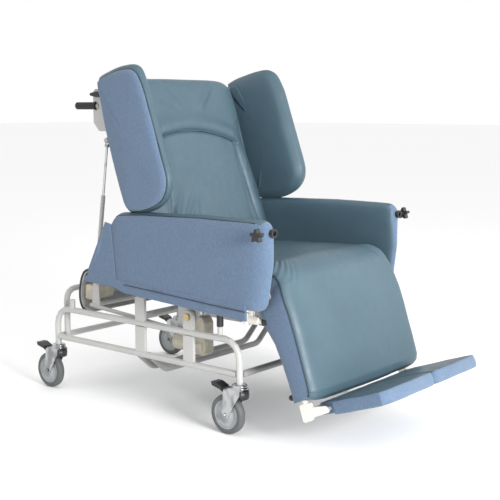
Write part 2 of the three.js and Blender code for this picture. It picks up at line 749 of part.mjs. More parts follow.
add("legrest_frame", legFrame(), PAINT);

function legPad() {
  const steps = 5;
  const nose = KNEE_R + 1.5;
  const from = Math.acos(54 / nose);
  const to = Math.asin(36 / nose);
  const arc = [];
  for (let i = 0; i <= steps; i++) {
    const a = from + ((to - from) * i) / steps;
    arc.push(onLeg(nose * Math.sin(a), nose * Math.cos(a)));
  }
  const points = [...arc, onLeg(36, 88), onLeg(LEG_END - 14, 88), onLeg(LEG_END, 74), onLeg(LEG_END, 54)];
  return slab(outline(points), -360, 360);
}
add("legrest_pad", legPad(), VINYL);

// Foot carriage: two inner tubes, a cross bar below the pad, and arms forward to the footplate hinge.
function footSlide() {
  const inner = [-LEG_TUBE_X, LEG_TUBE_X].map((x) => legTube(x, 200, 486, 11));
  const bar = tube([[-LEG_TUBE_X, ...onLeg(478, LEG_TUBE_N)], [LEG_TUBE_X, ...onLeg(478, LEG_TUBE_N)]], 10);
  const arms = [-1, 1].flatMap((side) => {
    const across = (x0, x1) => (side < 0 ? [-x1, -x0] : [x0, x1]);
    const front = [onLeg(446, 56), onLeg(470, 60), onLeg(508, 48)];
    const knuckle = outline([onLeg(446, 20), ...front, onLeg(512, 20)], 6);
    const tip = [onLeg(468, 116), onLeg(478, 132), onLeg(492, 128)];
    const arm = outline([onLeg(462, 50), ...tip, onLeg(500, 50)], 6);
    return [
      slab(knuckle, ...across(316, 344)),
      slab(arm, ...across(322, 334)),
      disc(...FOOT_HINGE, 6, ...across(306, 328), 16),
    ];
  });
  return join(...inner, bar, ...arms);
}
add("foot_slide", footSlide(), CREAM);

function plunger() {
  const s = 418;
  const at = (n) => [-LEG_TUBE_X, ...onLeg(s, LEG_TUBE_N + n)];
  const pin = tube([at(-11.4), at(-46)], 5, 0, 8);
  const ball = new THREE.SphereGeometry(11, 10, 7).translate(...at(-52));
  return join(pin, ball);
}
add("foot_plunger", plunger(), PLASTIC);

const FOOT_DEPTH = 242;
const FOOT_X = 334;
const NOTCH = { x: 300, d: 34 }; // hinge arms come into these two rear cut-outs
function footPlate() {
  const side = [onFoot(14, -24), onFoot(14, 28), onFoot(FOOT_DEPTH, 28), onFoot(FOOT_DEPTH, -24)];
  const pad = slab(outline(side, 12), -FOOT_X, FOOT_X, 8);
  const recess = [-1, 1].map((side) => {
    const across = side < 0 ? [-FOOT_X - 5, -NOTCH.x] : [NOTCH.x, FOOT_X + 5];
    const shape = [onFoot(0, -40), onFoot(0, 24), onFoot(NOTCH.d, 24), onFoot(NOTCH.d, -40)];
    return slab(outline(shape), ...across);
  });
  const ears = [-1, 1].map((side) => {
    const across = side < 0 ? [-320, -294] : [294, 320];
    return slab(outline([onFoot(-10, -9), onFoot(-10, 9), onFoot(44, 9), onFoot(44, -9)], 7), ...across);
  });
  const holes = [-1, 1].map((side) => disc(...FOOT_HINGE, 6 + FIT, side * 314 - 24, side * 314 + 24));
  return cut(join(cut(pad, ...recess), ...ears), ...holes);
}
add("footplate", footPlate(), CLOTH);

// ---------------------------------------------------------------- drives
const TILT_ROD_Y = SEAT_REAR_Y;
function tiltActuator() {
  const motor = rod("Y", 110, 272, DRIVE_X, 234, 36);
  const gearbox = slab(outline([[98, 196], [172, 196], [172, 330], [150, 356], [112, 356], [98, 330]], 12),
    DRIVE_X - 28, DRIVE_X + 28, 4);
  const cheeks = [6, -15].map((x) =>
    slab(outline([[203, 176], [227, 176], [231, 210], [199, 210]], 5), DRIVE_X + x, DRIVE_X + x + 9));
  const bore = rod("Z", 212, 370, DRIVE_X, TILT_ROD_Y, 11 + FIT);
  const pin = disc(DRIVE_FOOT.y, DRIVE_FOOT.z, 4 + FIT, DRIVE_X - 24, DRIVE_X + 24);
  return cut(join(motor, gearbox, ...cheeks), bore, pin);
}
add("tilt_actuator", tiltActuator(), BEIGE);

function tiltRod() {
  const bar = rod("Z", 268, 436, DRIVE_X, TILT_ROD_Y, 11);
  const base = block(DRIVE_X - 15, DRIVE_X + 15, TILT_ROD_Y - 10, TILT_ROD_Y + 10, 430, 442);
  const [y0, y1] = [TILT_ROD_Y - 10, TILT_ROD_Y + 10];
  const cheeks = [6, -15].map((x) => block(DRIVE_X + x, DRIVE_X + x + 9, y0, y1, 440, 468));
  return join(bar, base, ...cheeks);
}
add("tilt_rod", tiltRod(), CHROME);

function legActuator() {
  const { y, z } = LEG_DRIVE_ROOT;
  const x = LEG_DRIVE_X;
  const body = rod("Y", y - 26, -236, x, z, 16);
  const gearbox = block(x - 22, x + 74, -70, -26, z - 28, z + 24);
  const motor = rod("Y", -68, -196, x + 48, z - 4, 26);
  const cheeks = [6, -15].map((dx) => block(x + dx, x + dx + 9, y - 50, y + 10, z - 10, z + 10));
  const bore = rod("Y", -78, -250, x, z, 8 + FIT);
  const pin = disc(y, z, 4 + FIT, x - 24, x + 24);
  return cut(join(body, gearbox, motor, ...cheeks), bore, pin);
}
add("legrest_actuator", legActuator(), BEIGE);

function legRod() {
  const x = LEG_DRIVE_X;
  const z = LEG_DRIVE_ROOT.z;
  const tip = LEG_LEVER[0];
  const bar = rod("Y", -84, tip + 22, x, z, 8);
  const base = block(x - 15, x + 15, tip + 14, tip + 24, z - 10, z + 14);
  const cheeks = [6, -15].map((dx) => block(x + dx, x + dx + 9, tip - 10, tip + 16, z - 10, z + 14));
  return join(bar, base, ...cheeks);
}
add("legrest_rod", legRod(), CHROME);

export default chair;
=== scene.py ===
# Reclining care chair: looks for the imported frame. Metres, +Z up, the sitter faces -Y.
import bpy, bmesh, json, math
import numpy as np
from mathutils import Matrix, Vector, noise


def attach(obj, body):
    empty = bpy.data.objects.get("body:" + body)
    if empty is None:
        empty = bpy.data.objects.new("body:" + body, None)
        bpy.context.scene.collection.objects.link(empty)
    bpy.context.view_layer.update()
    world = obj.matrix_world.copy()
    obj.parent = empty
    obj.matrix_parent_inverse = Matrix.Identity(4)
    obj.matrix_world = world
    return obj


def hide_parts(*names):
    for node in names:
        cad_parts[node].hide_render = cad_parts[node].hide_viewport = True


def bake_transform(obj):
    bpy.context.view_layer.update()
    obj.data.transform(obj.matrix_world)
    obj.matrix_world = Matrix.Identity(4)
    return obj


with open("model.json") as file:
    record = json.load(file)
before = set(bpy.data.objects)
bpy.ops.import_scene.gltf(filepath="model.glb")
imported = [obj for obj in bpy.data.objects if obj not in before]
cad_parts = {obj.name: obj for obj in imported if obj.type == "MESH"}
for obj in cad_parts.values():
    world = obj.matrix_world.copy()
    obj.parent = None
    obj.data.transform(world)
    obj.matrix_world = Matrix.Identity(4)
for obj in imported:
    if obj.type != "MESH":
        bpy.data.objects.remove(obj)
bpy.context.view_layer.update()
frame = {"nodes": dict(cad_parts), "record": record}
nodes = frame["nodes"]

SIDES = [("right", -1.0), ("left", 1.0)]

# the back rest's front plane passes y = BACK_Y at z = BACK_Z, and leans back by SLOPE for each unit of height
SLOPE = 0.30
LEAN = math.atan(SLOPE)
BACK_Y, BACK_Z = 0.247, 1.080

# ---------------- materials
def material(name, color, rough, metal=0.0):
    m = bpy.data.materials.new(name)
    m.use_nodes = True
    tree = m.node_tree
    tree.nodes.clear()
    out = tree.nodes.new("ShaderNodeOutputMaterial")
    shader = tree.nodes.new("ShaderNodeBsdfPrincipled")
    tree.links.new(shader.outputs["BSDF"], out.inputs["Surface"])
    shader.inputs["Base Color"].default_value = (*color, 1)
    shader.inputs["Roughness"].default_value = rough
    shader.inputs["Metallic"].default_value = metal
    return m, tree, shader


def node(tree, kind, **values):
    n = tree.nodes.new(kind)
    for key, value in values.items():
        setattr(n, key, value)
    return n


def scaled(tree, source, factor):
    n = node(tree, "ShaderNodeMath", operation="MULTIPLY")
    n.inputs[1].default_value = factor
    tree.links.new(source, n.inputs[0])
    return n.outputs[0]


def object_coords(tree, scale=(1, 1, 1)):
    coords = node(tree, "ShaderNodeTexCoord")
    mapping = node(tree, "ShaderNodeMapping")
    mapping.inputs["Scale"].default_value = scale
    tree.links.new(coords.outputs["Object"], mapping.inputs["Vector"])
    return mapping.outputs["Vector"]


def ramp(tree, source, stops, target):
    r = node(tree, "ShaderNodeValToRGB")
    while len(r.color_ramp.elements) < len(stops):
        r.color_ramp.elements.new(0.5)
    for element, (place, color) in zip(r.color_ramp.elements, stops):
        element.position = place
        element.color = (*color, 1)
    tree.links.new(source, r.inputs["Fac"])
    tree.links.new(r.outputs["Color"], target)


def grey(v):
    return (v, v, v)


def bumped(tree, shader, height, strength, distance, below=None):
    b = node(tree, "ShaderNodeBump")
    b.inputs["Strength"].default_value = strength
    b.inputs["Distance"].default_value = distance
    tree.links.new(height, b.inputs["Height"])
    if below is not None:
        tree.links.new(below, b.inputs["Normal"])
    tree.links.new(b.outputs["Normal"], shader.inputs["Normal"])
    return b.outputs["Normal"]


def noise_of(tree, vector, scale, detail=2.0, rough=0.5):
    n = node(tree, "ShaderNodeTexNoise")
    n.inputs["Scale"].default_value = scale
    n.inputs["Detail"].default_value = detail
    n.inputs["Roughness"].default_value = rough
    tree.links.new(vector, n.inputs["Vector"])
    return n.outputs["Fac"]


def vinyl(name, color):
    """Coated upholstery vinyl: fine leather grain, soft creases, slight wear in the sheen."""
    m, tree, shader = material(name, color, 0.42)
    shader.inputs["Specular IOR Level"].default_value = 0.33
    at = object_coords(tree)
    broad = noise_of(tree, at, 5.0, 3.0)
    dark = tuple(c * 0.93 for c in color)
    light = tuple(min(1.0, c * 1.06) for c in color)
    ramp(tree, broad, [(0.3, dark), (0.7, light)], shader.inputs["Base Color"])
    sheen = noise_of(tree, at, 38.0, 3.0)
    ramp(tree, sheen, [(0.3, grey(0.39)), (0.7, grey(0.5))], shader.inputs["Roughness"])
    cells = node(tree, "ShaderNodeTexVoronoi")
    cells.inputs["Scale"].default_value = 900.0
    tree.links.new(at, cells.inputs["Vector"])
    grain = bumped(tree, shader, cells.outputs["Distance"], 0.10, 0.0004)
    creases = noise_of(tree, at, 22.0, 4.0, 0.6)
    bumped(tree, shader, creases, 0.10, 0.0035, grain)
    return m


def cloth(name, color):
    """Woven upholstery cloth: crossed threads with lighter and darker yarns, a little fuzz."""
    m, tree, shader = material(name, color, 0.82)
    shader.inputs["Sheen Weight"].default_value = 0.25
    shader.inputs["Sheen Roughness"].default_value = 0.5
    shader.inputs["Specular IOR Level"].default_value = 0.2
    at = object_coords(tree)
    threads = []
    for axis in ("Y", "Z"):
        w = node(tree, "ShaderNodeTexWave", wave_type="BANDS", bands_direction=axis)
        for key, value in (("Scale", 420.0), ("Distortion", 1.2), ("Detail", 1.0), ("Detail Scale", 2.0)):
            w.inputs[key].default_value = value
        tree.links.new(at, w.inputs["Vector"])
        threads.append(w.outputs["Fac"])
    weave = node(tree, "ShaderNodeMath", operation="MULTIPLY")
    tree.links.new(threads[0], weave.inputs[0])
    tree.links.new(threads[1], weave.inputs[1])
    yarns = noise_of(tree, object_coords(tree, (1.0, 0.55, 1.7)), 340.0, 3.0, 0.7)
    blotch = noise_of(tree, object_coords(tree, (1.0, 1.6, 0.7)), 150.0, 3.0, 0.6)
    mix = node(tree, "ShaderNodeMath", operation="ADD")
    tree.links.new(scaled(tree, blotch, 0.45), mix.inputs[0])
    tree.links.new(scaled(tree, yarns, 0.55), mix.inputs[1])
    dark = tuple(c * 0.80 for c in color)
    light = (min(1, color[0] * 1.30), min(1, color[1] * 1.22), min(1, color[2] * 1.13))
    ramp(tree, mix.outputs[0], [(0.34, dark), (0.5, color), (0.66, light)], shader.inputs["Base Color"])
    bumped(tree, shader, weave.outputs[0], 0.35, 0.0006)
    return m


def paint(name, color, rough=0.38):
    """Powder coat: slight changes of tone and an orange-peel texture."""
    m, tree, shader = material(name, color, rough)
    shader.inputs["Coat Weight"].default_value = 0.15
    shader.inputs["Coat Roughness"].default_value = 0.25
    at = object_coords(tree)
    tone = noise_of(tree, at, 9.0, 3.0)
    ramp(tree, tone, [(0.3, tuple(c * 0.93 for c in color)), (0.7, color)], shader.inputs["Base Color"])
    bumped(tree, shader, noise_of(tree, at, 520.0, 2.0), 0.12, 0.0004)
    return m


def moulded(name, color, rough=0.45, grain=0.2):
    m, tree, shader = material(name, color, rough)
    at = object_coords(tree)
    tone = noise_of(tree, at, 30.0, 2.0)
    dark = tuple(c * 0.85 for c in color)
    light = tuple(min(1, c * 1.1) for c in color)
    ramp(tree, tone, [(0.3, dark), (0.7, light)], shader.inputs["Base Color"])
    bumped(tree, shader, noise_of(tree, at, 700.0, 2.0), grain, 0.0003)
    return m


def metal(name, color, rough):
    m, tree, shader = material(name, color, rough, 1.0)
    at = object_coords(tree)
    wear = noise_of(tree, at, 60.0, 4.0)
    ramp(tree, wear, [(0.3, grey(rough * 0.7)), (0.75, grey(rough * 1.5))], shader.inputs["Roughness"])
    bumped(tree, shader, noise_of(tree, at, 300.0, 2.0), 0.05, 0.0003)
    return m


def plated(name, color, dark):
    """Bright plating with darker streaks in its colour, as if it mirrored a dark room."""
    m, tree, shader = material(name, color, 0.2, 1.0)
    at = object_coords(tree, (1.0, 1.0, 0.6))
    streaks = noise_of(tree, at, 28.0, 1.0, 0.5)
    ramp(tree, streaks, [(0.40, dark), (0.56, color)], shader.inputs["Base Color"])
    bumped(tree, shader, noise_of(tree, at, 300.0, 2.0), 0.05, 0.0003)
    return m


TEAL = vinyl("teal_vinyl", (0.058, 0.100, 0.127))
BLUE = cloth("blue_cloth", (0.097, 0.148, 0.228))
# near-black vinyl for the sewn cords: their dark colour is painted shade, standing for the shadow in the seam
# creases
SEAM_SHADE = vinyl("welt_painted_shade_vinyl", (0.016, 0.028, 0.036))
# near-black cloth for the hem's cord: painted shade of the hem's fold
HEM_SHADE = cloth("hem_painted_shade_cloth", (0.016, 0.026, 0.050))
PAINT = paint("frame_paint", (0.46, 0.46, 0.445))
CREAM = paint("cream_paint", (0.74, 0.72, 0.65), 0.42)
STEEL = paint("drive_tube_paint", (0.30, 0.30, 0.295), 0.35)
CHROME = plated("chrome", (0.50, 0.51, 0.52), (0.26, 0.265, 0.27))
BRASS = metal("brass", (0.55, 0.42, 0.20), 0.32)
BEIGE = moulded("drive_plastic", (0.54, 0.50, 0.40), 0.5)
BLACK = moulded("black_plastic", (0.016, 0.016, 0.018), 0.4)
RUBBER = moulded("grip_rubber", (0.014, 0.014, 0.014), 0.65, 0.5)
TYRE = moulded("castor_tyre", (0.095, 0.10, 0.10), 0.6, 0.4)
HUB = moulded("castor_hub", (0.33, 0.35, 0.36), 0.38)

LOOK = {
    "frame_paint": PAINT, "cream_paint": CREAM, "chrome": CHROME, "castor_tyre": TYRE,
    "black_plastic": BLACK, "grip_rubber": RUBBER, "brass": BRASS, "drive_plastic": BEIGE,
    "teal_vinyl": TEAL, "blue_cloth": BLUE,
}
slot_of = {s["node"]: s["material_slot"] for s in frame["record"]["subparts"]}
for name, obj in nodes.items():
    look = LOOK[slot_of[name]]
    if name in ("swan_tube_front", "swan_tube_rear", "front_cross_tube"):
        look = STEEL
    obj.data.materials.clear()
    obj.data.materials.append(look)

# the bars that carry the wings are sleeved in the back's vinyl
BAR_X, BAR_LOW, BAR_HIGH, BAR_DEPTH = 0.285, 0.60, 1.30, 0.135
back_frame = nodes["back_frame"].data
back_frame.materials.append(TEAL)
for face in back_frame.polygons:
    x, y, z = face.center
    if abs(x) > BAR_X and BAR_LOW < z < BAR_HIGH and y < SLOPE * (z - BACK_Z) + BACK_Y + BAR_DEPTH:
        face.material_index = 1


# ---------------- making pieces
def piece(name, verts, faces, mats, looks=None, smooth=True):
    mesh = bpy.data.meshes.new(name)
    mesh.from_pydata([tuple(map(float, v)) for v in verts], [], faces)
    for m in mats:
        mesh.materials.append(m)
    if looks is not None:
        mesh.polygons.foreach_set("material_index", np.array(looks, dtype=np.int32))
    mesh.polygons.foreach_set("use_smooth", np.full(len(mesh.polygons), smooth))
    mesh.update()
    bm = bmesh.new()
    bm.from_mesh(mesh)
    bmesh.ops.recalc_face_normals(bm, faces=bm.faces)
    bm.to_mesh(mesh)
    bm.free()
    obj = bpy.data.objects.new(name, mesh)
    bpy.context.scene.collection.objects.link(obj)
    return obj


def move_vertices(obj, change):
    """change(points, normals) gives new points for the mesh's vertices."""
    mesh = obj.data
    n = len(mesh.vertices)
    co = np.zeros(n * 3)
    mesh.vertices.foreach_get("co", co)
    normals = np.array([v.normal[:] for v in mesh.vertices])
    co = change(co.reshape(n, 3), normals)
    mesh.vertices.foreach_set("co", co.reshape(-1))
    mesh.update()


def clamp(t):
    return max(0.0, min(1.0, t))


def spline_point(a, b, c, d, t):
    """The point between b and c, at t from 0 to 1, of the smooth line through a, b, c and d."""
    square = 2 * a - 5 * b + 4 * c - d
    cube = 3 * b - a - 3 * c + d
    return 0.5 * ((2 * b) + (c - a) * t + square * t * t + cube * t ** 3)


def run_along(line):
    """How far along the line each of its points is."""
    return np.concatenate([[0], np.cumsum(np.linalg.norm(np.diff(line, axis=0), axis=1))])


def read_line(line, run, at):
    return np.column_stack([np.interp(at, run, line[:, k]) for k in range(2)])


def evenly(points, count):
    """The closed line through points, as count points that are evenly spaced."""
    closed = np.vstack([points, points[:1]])
    run = run_along(closed)
    return read_line(closed, run, np.linspace(0, run[-1], count, endpoint=False))


def smooth_loop(corners, count):
    """A smooth closed loop through corner points, evenly spaced."""
    p = np.array(corners, float)
    n = len(p)
    steps = 24
    out = []
    for i in range(n):
        for k in range(steps):
            out.append(spline_point(p[i - 1], p[i], p[(i + 1) % n], p[(i + 2) % n], k / steps))
    return evenly(np.array(out), count)


def round_loop(corners, radii, count):
    """Straight sides between corners that are rounded, each to its own radius, evenly spaced."""
    p = np.array(corners, float)
    n = len(p)
    steps = 12
    out = []
    for i in range(n):
        a, b, c = p[i - 1], p[i], p[(i + 1) % n]
        before, after = np.linalg.norm(a - b), np.linalg.norm(c - b)
        u, v = (a - b) / before, (c - b) / after
        half = math.acos(np.clip(u @ v, -1, 1)) / 2
        reach = min(radii[i] / math.tan(half), 0.48 * min(before, after))
        start, end = b + u * reach, b + v * reach
        for k in range(steps + 1):
            t = k / steps
            out.append((1 - t) ** 2 * start + 2 * t * (1 - t) * b + t * t * end)
    return evenly(np.array(out), count)


def inset(loop, d, share=1.0):
    """The loop moved inwards by d along its own normals, or by d times each point's share of it."""
    n = len(loop)
    t = np.roll(loop, -2, axis=0) - np.roll(loop, 2, axis=0)
    t /= np.linalg.norm(t, axis=1)[:, None]
    normal = np.column_stack([-t[:, 1], t[:, 0]])
    centre = loop.mean(axis=0)
    if ((centre - loop) * normal).sum() < 0:
        normal = -normal
    return loop + normal * (d * np.ones(n) * share)[:, None]


FACE_ROWS = 7
OUTER_FACE, INNER_FACE = -1, 99


def pad_from_loop(name, loop, rings, plane, mats, look, share=1.0):
    """A padded slab. rings are (inset, depth) from its outer face's edge round to its inner face's edge, and
    the first and last carry their face's crown; plane(points, depth) places loop points in space;
    look(ring, point) picks a material. share widens the outer rings' insets, point by point."""
    n = len(loop)
    fine = 3
    path = curved([r[:2] for r in rings], fine)
    verts, rows, ring_of = [], [], []

    def row(points, depth, ring):
        rows.append(len(verts))
        ring_of.append(ring)
        verts.extend(plane(points, depth))

    def shares(k):
        # the share holds up to the third ring and fades out by the fifth
        return 1 + (share - 1) * clamp((5 * fine - k) / (2 * fine))

    def face_rows(face, depth, crown, fractions, ring):
        middle = face.mean(axis=0)
        for f in fractions:
            row(middle + (face - middle) * (0.02 + 0.98 * f), depth + crown * (1 - f ** 2.2), ring)

    fractions = [k / FACE_ROWS for k in range(FACE_ROWS)]
    face_rows(inset(loop, path[0][0], shares(0)), path[0][1], rings[0][2], fractions, OUTER_FACE)
    for k, (d, depth) in enumerate(path):
        row(inset(loop, d, shares(k)), depth, k // fine)
    face_rows(inset(loop, path[-1][0]), path[-1][1], rings[-1][2], fractions[::-1], INNER_FACE)
    faces, looks = [], []
    for j in range(len(rows) - 1):
        for i in range(n):
            k = (i + 1) % n
            faces.append((rows[j] + i, rows[j] + k, rows[j + 1] + k, rows[j + 1] + i))
            looks.append(look(ring_of[j], loop[i]))
    faces.append(tuple(rows[0] + i for i in range(n)))
    looks.append(look(OUTER_FACE, loop[0]))
    faces.append(tuple(rows[-1] + i for i in range(n))[::-1])
    looks.append(look(INNER_FACE, loop[0]))
    return piece(name, verts, faces, mats, looks)


def welt(name, points, radius, mat, closed=True):
    """A sewn cord along points."""
    curve = bpy.data.curves.new(name, "CURVE")
    curve.dimensions = "3D"
    curve.bevel_depth = radius
    curve.bevel_resolution = 2
    spline = curve.splines.new("POLY")
    spline.points.add(len(points) - 1)
    for p, at in zip(spline.points, points):
        p.co = (*map(float, at), 1)
    spline.use_cyclic_u = closed
    curve.materials.append(mat)
    obj = bpy.data.objects.new(name, curve)
    bpy.context.scene.collection.objects.link(obj)
    mesh = bpy.data.meshes.new_from_object(obj)
    bpy.data.objects.remove(obj)
    obj = bpy.data.objects.new(name, mesh)
    bpy.context.scene.collection.objects.link(obj)
    for poly in mesh.polygons:
        poly.use_smooth = True
    return obj


def curved(points, steps):
    """An open smooth line through points in space."""
    p = np.array(points, float)
    p = np.vstack([2 * p[0] - p[1], p, 2 * p[-1] - p[-2]])
    out = []
    for a, b, c, d in zip(p, p[1:], p[2:], p[3:]):
        for k in range(steps):
            out.append(spline_point(a, b, c, d, k / steps))
    out.append(p[-2])
    return np.array(out)


def noise_at(points, scale, seed):
    shift = Vector((seed * 7.13, seed * 3.71, seed * 5.17))
    return np.array([noise.noise(Vector(p) * scale + shift) for p in points])


def grid_faces(rows, columns, start):
    """The squares of a grid of points, numbered from start along one row after the other."""
    faces = []
    for j in range(rows - 1):
        for i in range(columns - 1):
            a = start + j * columns + i
            faces.append((a, a + 1, a + columns + 1, a + columns))
    return faces


def rim_of(rows, columns):
    """The numbers of a grid's outer points, once round."""
    rim = list(range(columns)) + [j * columns + columns - 1 for j in range(1, rows)]
    rim += [(rows - 1) * columns + i for i in range(columns - 2, -1, -1)]
    return rim + [j * columns for j in range(rows - 2, 0, -1)]


def add_wall(verts, faces, rim, per, steps, push):
    """Joins a front grid's rim to the rear grid's, per points later, by rows moved out by push(point, t)."""
    rings = [rim]
    for k in range(1, steps + 1):
        t = k / (steps + 1)
        ring = []
        for i in rim:
            a, b = np.array(verts[i]), np.array(verts[i + per])
            p = a + (b - a) * t
            ring.append(len(verts))
            verts.append(tuple(p + push(p, t)))
        rings.append(ring)
    rings.append([i + per for i in rim])
    for near, far in zip(rings, rings[1:]):
        for q in range(len(rim)):
            r = (q + 1) % len(rim)
            faces.append((near[q], near[r], far[r], far[q]))


# ---------------- wings
WING_OUT, WING_IN = 0.4455, 0.3712
WING_LOOP = smooth_loop(
    [(0.3885, 1.278), (0.379, 1.2945), (0.335, 1.311), (0.285, 1.326), (0.238, 1.333), (0.203, 1.331),
     (0.175, 1.316), (0.157, 1.290), (0.137, 1.250), (0.113, 1.183), (0.088, 1.113), (0.060, 1.035),
     (0.035, 0.962), (0.026, 0.925), (0.030, 0.886), (0.052, 0.850), (0.092, 0.825), (0.147, 0.806),
     (0.195, 0.7985), (0.224, 0.801), (0.246, 0.820), (0.272, 0.882), (0.306, 0.976), (0.333, 1.062),
     (0.358, 1.148), (0.377, 1.225)], 260)


def wing(side, sign):
    """A head and shoulder pad: a cloth face outside, a sewn vinyl band and a crowned vinyl face inside."""
    out, inn = WING_OUT, WING_IN

    def plane(points, depth):
        # the pad grows taller and deeper towards its inner face
        inward = clamp((out - 0.016 - depth) / 0.03)
        deep = clamp((out - 0.030 - depth) / 0.03)
        made = []
        for y, z in points:
            lift = 0.016 * inward * clamp((z - 1.22) / 0.10)
            drop = 0.007 * inward * clamp((0.90 - z) / 0.08)
            # its inner cover runs on rearwards, to join the back's cover
            rearward = clamp((y - (SLOPE * (z - BACK_Z) + 0.190)) / 0.13)
            rearward = rearward * rearward * (3 - 2 * rearward)
            made.append((sign * depth, y + 0.052 * rearward * deep, z + lift - drop))
        return made

    rings = [
        (0.028, out + 0.0005, 0.005),
        (0.017, out - 0.0015),
        (0.009, out - 0.0055),
        (0.004, out - 0.0105),
        (0.0025, out - 0.0150),
        (0.0035, out - 0.0175),
        (-0.0015, out - 0.0215),
        (-0.0045, out - 0.0290),
        (-0.0045, out - 0.0370),
        (-0.0010, out - 0.0460),
        (0.0080, out - 0.0560),
        (0.0230, inn + 0.0060),
        (0.0400, inn + 0.0015),
        (0.0560, inn - 0.0005, -0.0022),
    ]
    obj = pad_from_loop(
        "wing_cover_" + side, WING_LOOP, rings, plane, [BLUE, TEAL],
        lambda ring, p: 0 if ring < 4 else 1)

    def shape(co, normals):
        soft = noise_at(co * [0.2, 1, 1], 8.0, 2 if sign < 0 else 5)
        fine = noise_at(co, 26.0, 4)
        inner = np.clip((0.425 - np.abs(co[:, 0])) / 0.01, 0, 1)
        # the vinyl puckers a little across its band, below the seam
        pucker = np.sin(co[:, 2] * 260 + 5 * soft) * np.exp(-((np.abs(co[:, 0]) - 0.425) / 0.006) ** 2)
        return co + normals * (0.0020 * soft + 0.0006 * fine + 0.0007 * pucker * inner)[:, None]

    move_vertices(obj, shape)
    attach(obj, "back")
    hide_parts("wing_" + side)
    line = inset(WING_LOOP, 0.0022)
    # the cord between the cloth face and the vinyl band is near-black: painted shade of the crease there
    cord = welt("wing_welt_" + side, [(sign * (out - 0.0168), y, z) for y, z in line], 0.0021, SEAM_SHADE)
    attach(cord, "back")
    # black edging down the lower part of the rear edge
    rear = [
        (0.3720, 1.190), (0.3615, 1.135), (0.3380, 1.055), (0.3110, 0.970), (0.2830, 0.890),
        (0.2580, 0.826)]
    line = curved([(sign * (out - 0.030), y + 0.005, z) for y, z in rear], 8)
    edging = welt("wing_edging_" + side, line, 0.0042, BLACK, closed=False)
    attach(edging, "back")


for side, sign in SIDES:
    wing(side, sign)


# ---------------- arms
ARM_OUT, ARM_IN = 0.4485, 0.3885
ARM_LOOP = round_loop(
    [(-0.428, 0.487), (-0.450, 0.640), (-0.449, 0.807), (-0.150, 0.8075), (0.150, 0.799), (0.288, 0.788),
     (0.331, 0.742), (0.303, 0.512)],
    [0.045, 0.2, 0.050, 0.3, 0.3, 0.06, 0.08, 0.02], 300)


def arm_share():
    """How much wider than usual the cover turns over: more at its front and top, and less along its foot."""
    y, z = ARM_LOOP[:, 0], ARM_LOOP[:, 1]
    share = 1.0 + 0.9 * np.clip((-0.400 - y) / 0.045, 0, 1) + 0.1 * np.clip((z - 0.78) / 0.02, 0, 1)
    share = share * (1 - 0.75 * np.clip((0.53 - z) / 0.02, 0, 1) * np.clip((y + 0.43) / 0.06, 0, 1))
    for smoothing in range(12):
        share = (np.roll(share, 1) + share + np.roll(share, -1)) / 3
    return share


ARM_SHARE = arm_share()


def arm(side, sign):
    """A padded arm: a cloth face outside, and a vinyl top and inner face that meet it in a seam."""
    out, inn = ARM_OUT, ARM_IN

    def plane(points, depth):
        made = []
        for y, z in points:
            # the pad swells inwards towards its top, above the seat
            swell = 0.012 * clamp((z - 0.62) / 0.12) * clamp((0.442 - depth) / 0.05)
            # its outer face curves in to the front, but less beside the tray socket
            front = clamp((-0.372 - y) / 0.080) ** 2 * clamp((depth - inn) / (out - inn))
            clear = 1.0 - 0.6 * math.exp(-(((z - 0.762) / 0.05) ** 2))
            made.append((sign * (depth - swell - 0.020 * front * clear), y, z))
        return made

    rings = [
        (0.030, out, 0.002),
        (0.017, out - 0.0035),
        (0.0085, out - 0.009),
        (0.0035, out - 0.0165),
        (0.0008, out - 0.025),
        (0.0, out - 0.033),
        (0.0025, out - 0.042),
        (0.009, out - 0.050),
        (0.018, inn + 0.0035),
        (0.036, inn, 0.002),
    ]

    def look(ring, p):
        y, z = p
        on_top = z > 0.77 and y > -0.425
        return int(ring >= 7 or (ring >= 2 and on_top))

    obj = pad_from_loop("arm_cover_" + side, ARM_LOOP, rings, plane, [BLUE, TEAL], look, share=ARM_SHARE)

    def shape(co, normals):
        soft = noise_at(co * [0.3, 1, 1], 7.0, 3 if sign < 0 else 6)
        fine = noise_at(co, 24.0, 8)
        y, z = co[:, 1], co[:, 2]
        # the socket's plate draws the cover in at the front
        pull = np.exp(-(((y + 0.437) / 0.05) ** 2 + ((z - 0.762) / 0.05) ** 2))
        return co + normals * (0.0015 * soft + 0.0005 * fine - 0.0015 * pull)[:, None]

    move_vertices(obj, shape)
    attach(obj, "seat")
    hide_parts("arm_" + side)
    edge = inset(ARM_LOOP, 0.0085, ARM_SHARE)
    top = [(sign * (out - 0.0088), y, z) for y, z in edge if z > 0.772 and y > -0.398]
    top.sort(key=lambda p: p[1])
    # the cord along the top seam is near-black: painted shade of the crease between cloth face and vinyl top
    seam = welt("arm_seam_" + side, top, 0.0016, SEAM_SHADE, closed=False)
    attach(seam, "seat")


for side, sign in SIDES:
    arm(side, sign)


# ---------------- side skirts
# each station of the panel has a point on the foot line and one on the top line
SKIRT_FOOT = np.array([
    (-0.366, 0.452), (-0.2, 0.459), (0.0, 0.470), (0.15, 0.477), (0.24, 0.481), (0.30, 0.498),
    (0.40, 0.502), (0.478, 0.504)])
SKIRT_TOP = np.array([
    (-0.366, 0.5085), (-0.2, 0.514), (0.0, 0.5215), (0.15, 0.5265), (0.24, 0.5295), (0.2880, 0.5315),
    (0.3120, 0.744), (0.3425, 0.750)])
FOOT_STATIONS = [0, 0.2, 0.42, 0.58, 0.67, 0.75, 0.87, 1.0]
TOP_STATIONS = [0, 0.2, 0.42, 0.58, 0.67, 0.735, 0.80, 1.0]
# the gusset's sloping rear edge, from its foot up
SKIRT_REAR = np.array([(0.478, 0.504), (0.424, 0.562), (0.376, 0.630), (0.354, 0.705), (0.3425, 0.750)])
HEM_SEAM_HEIGHT = 0.034


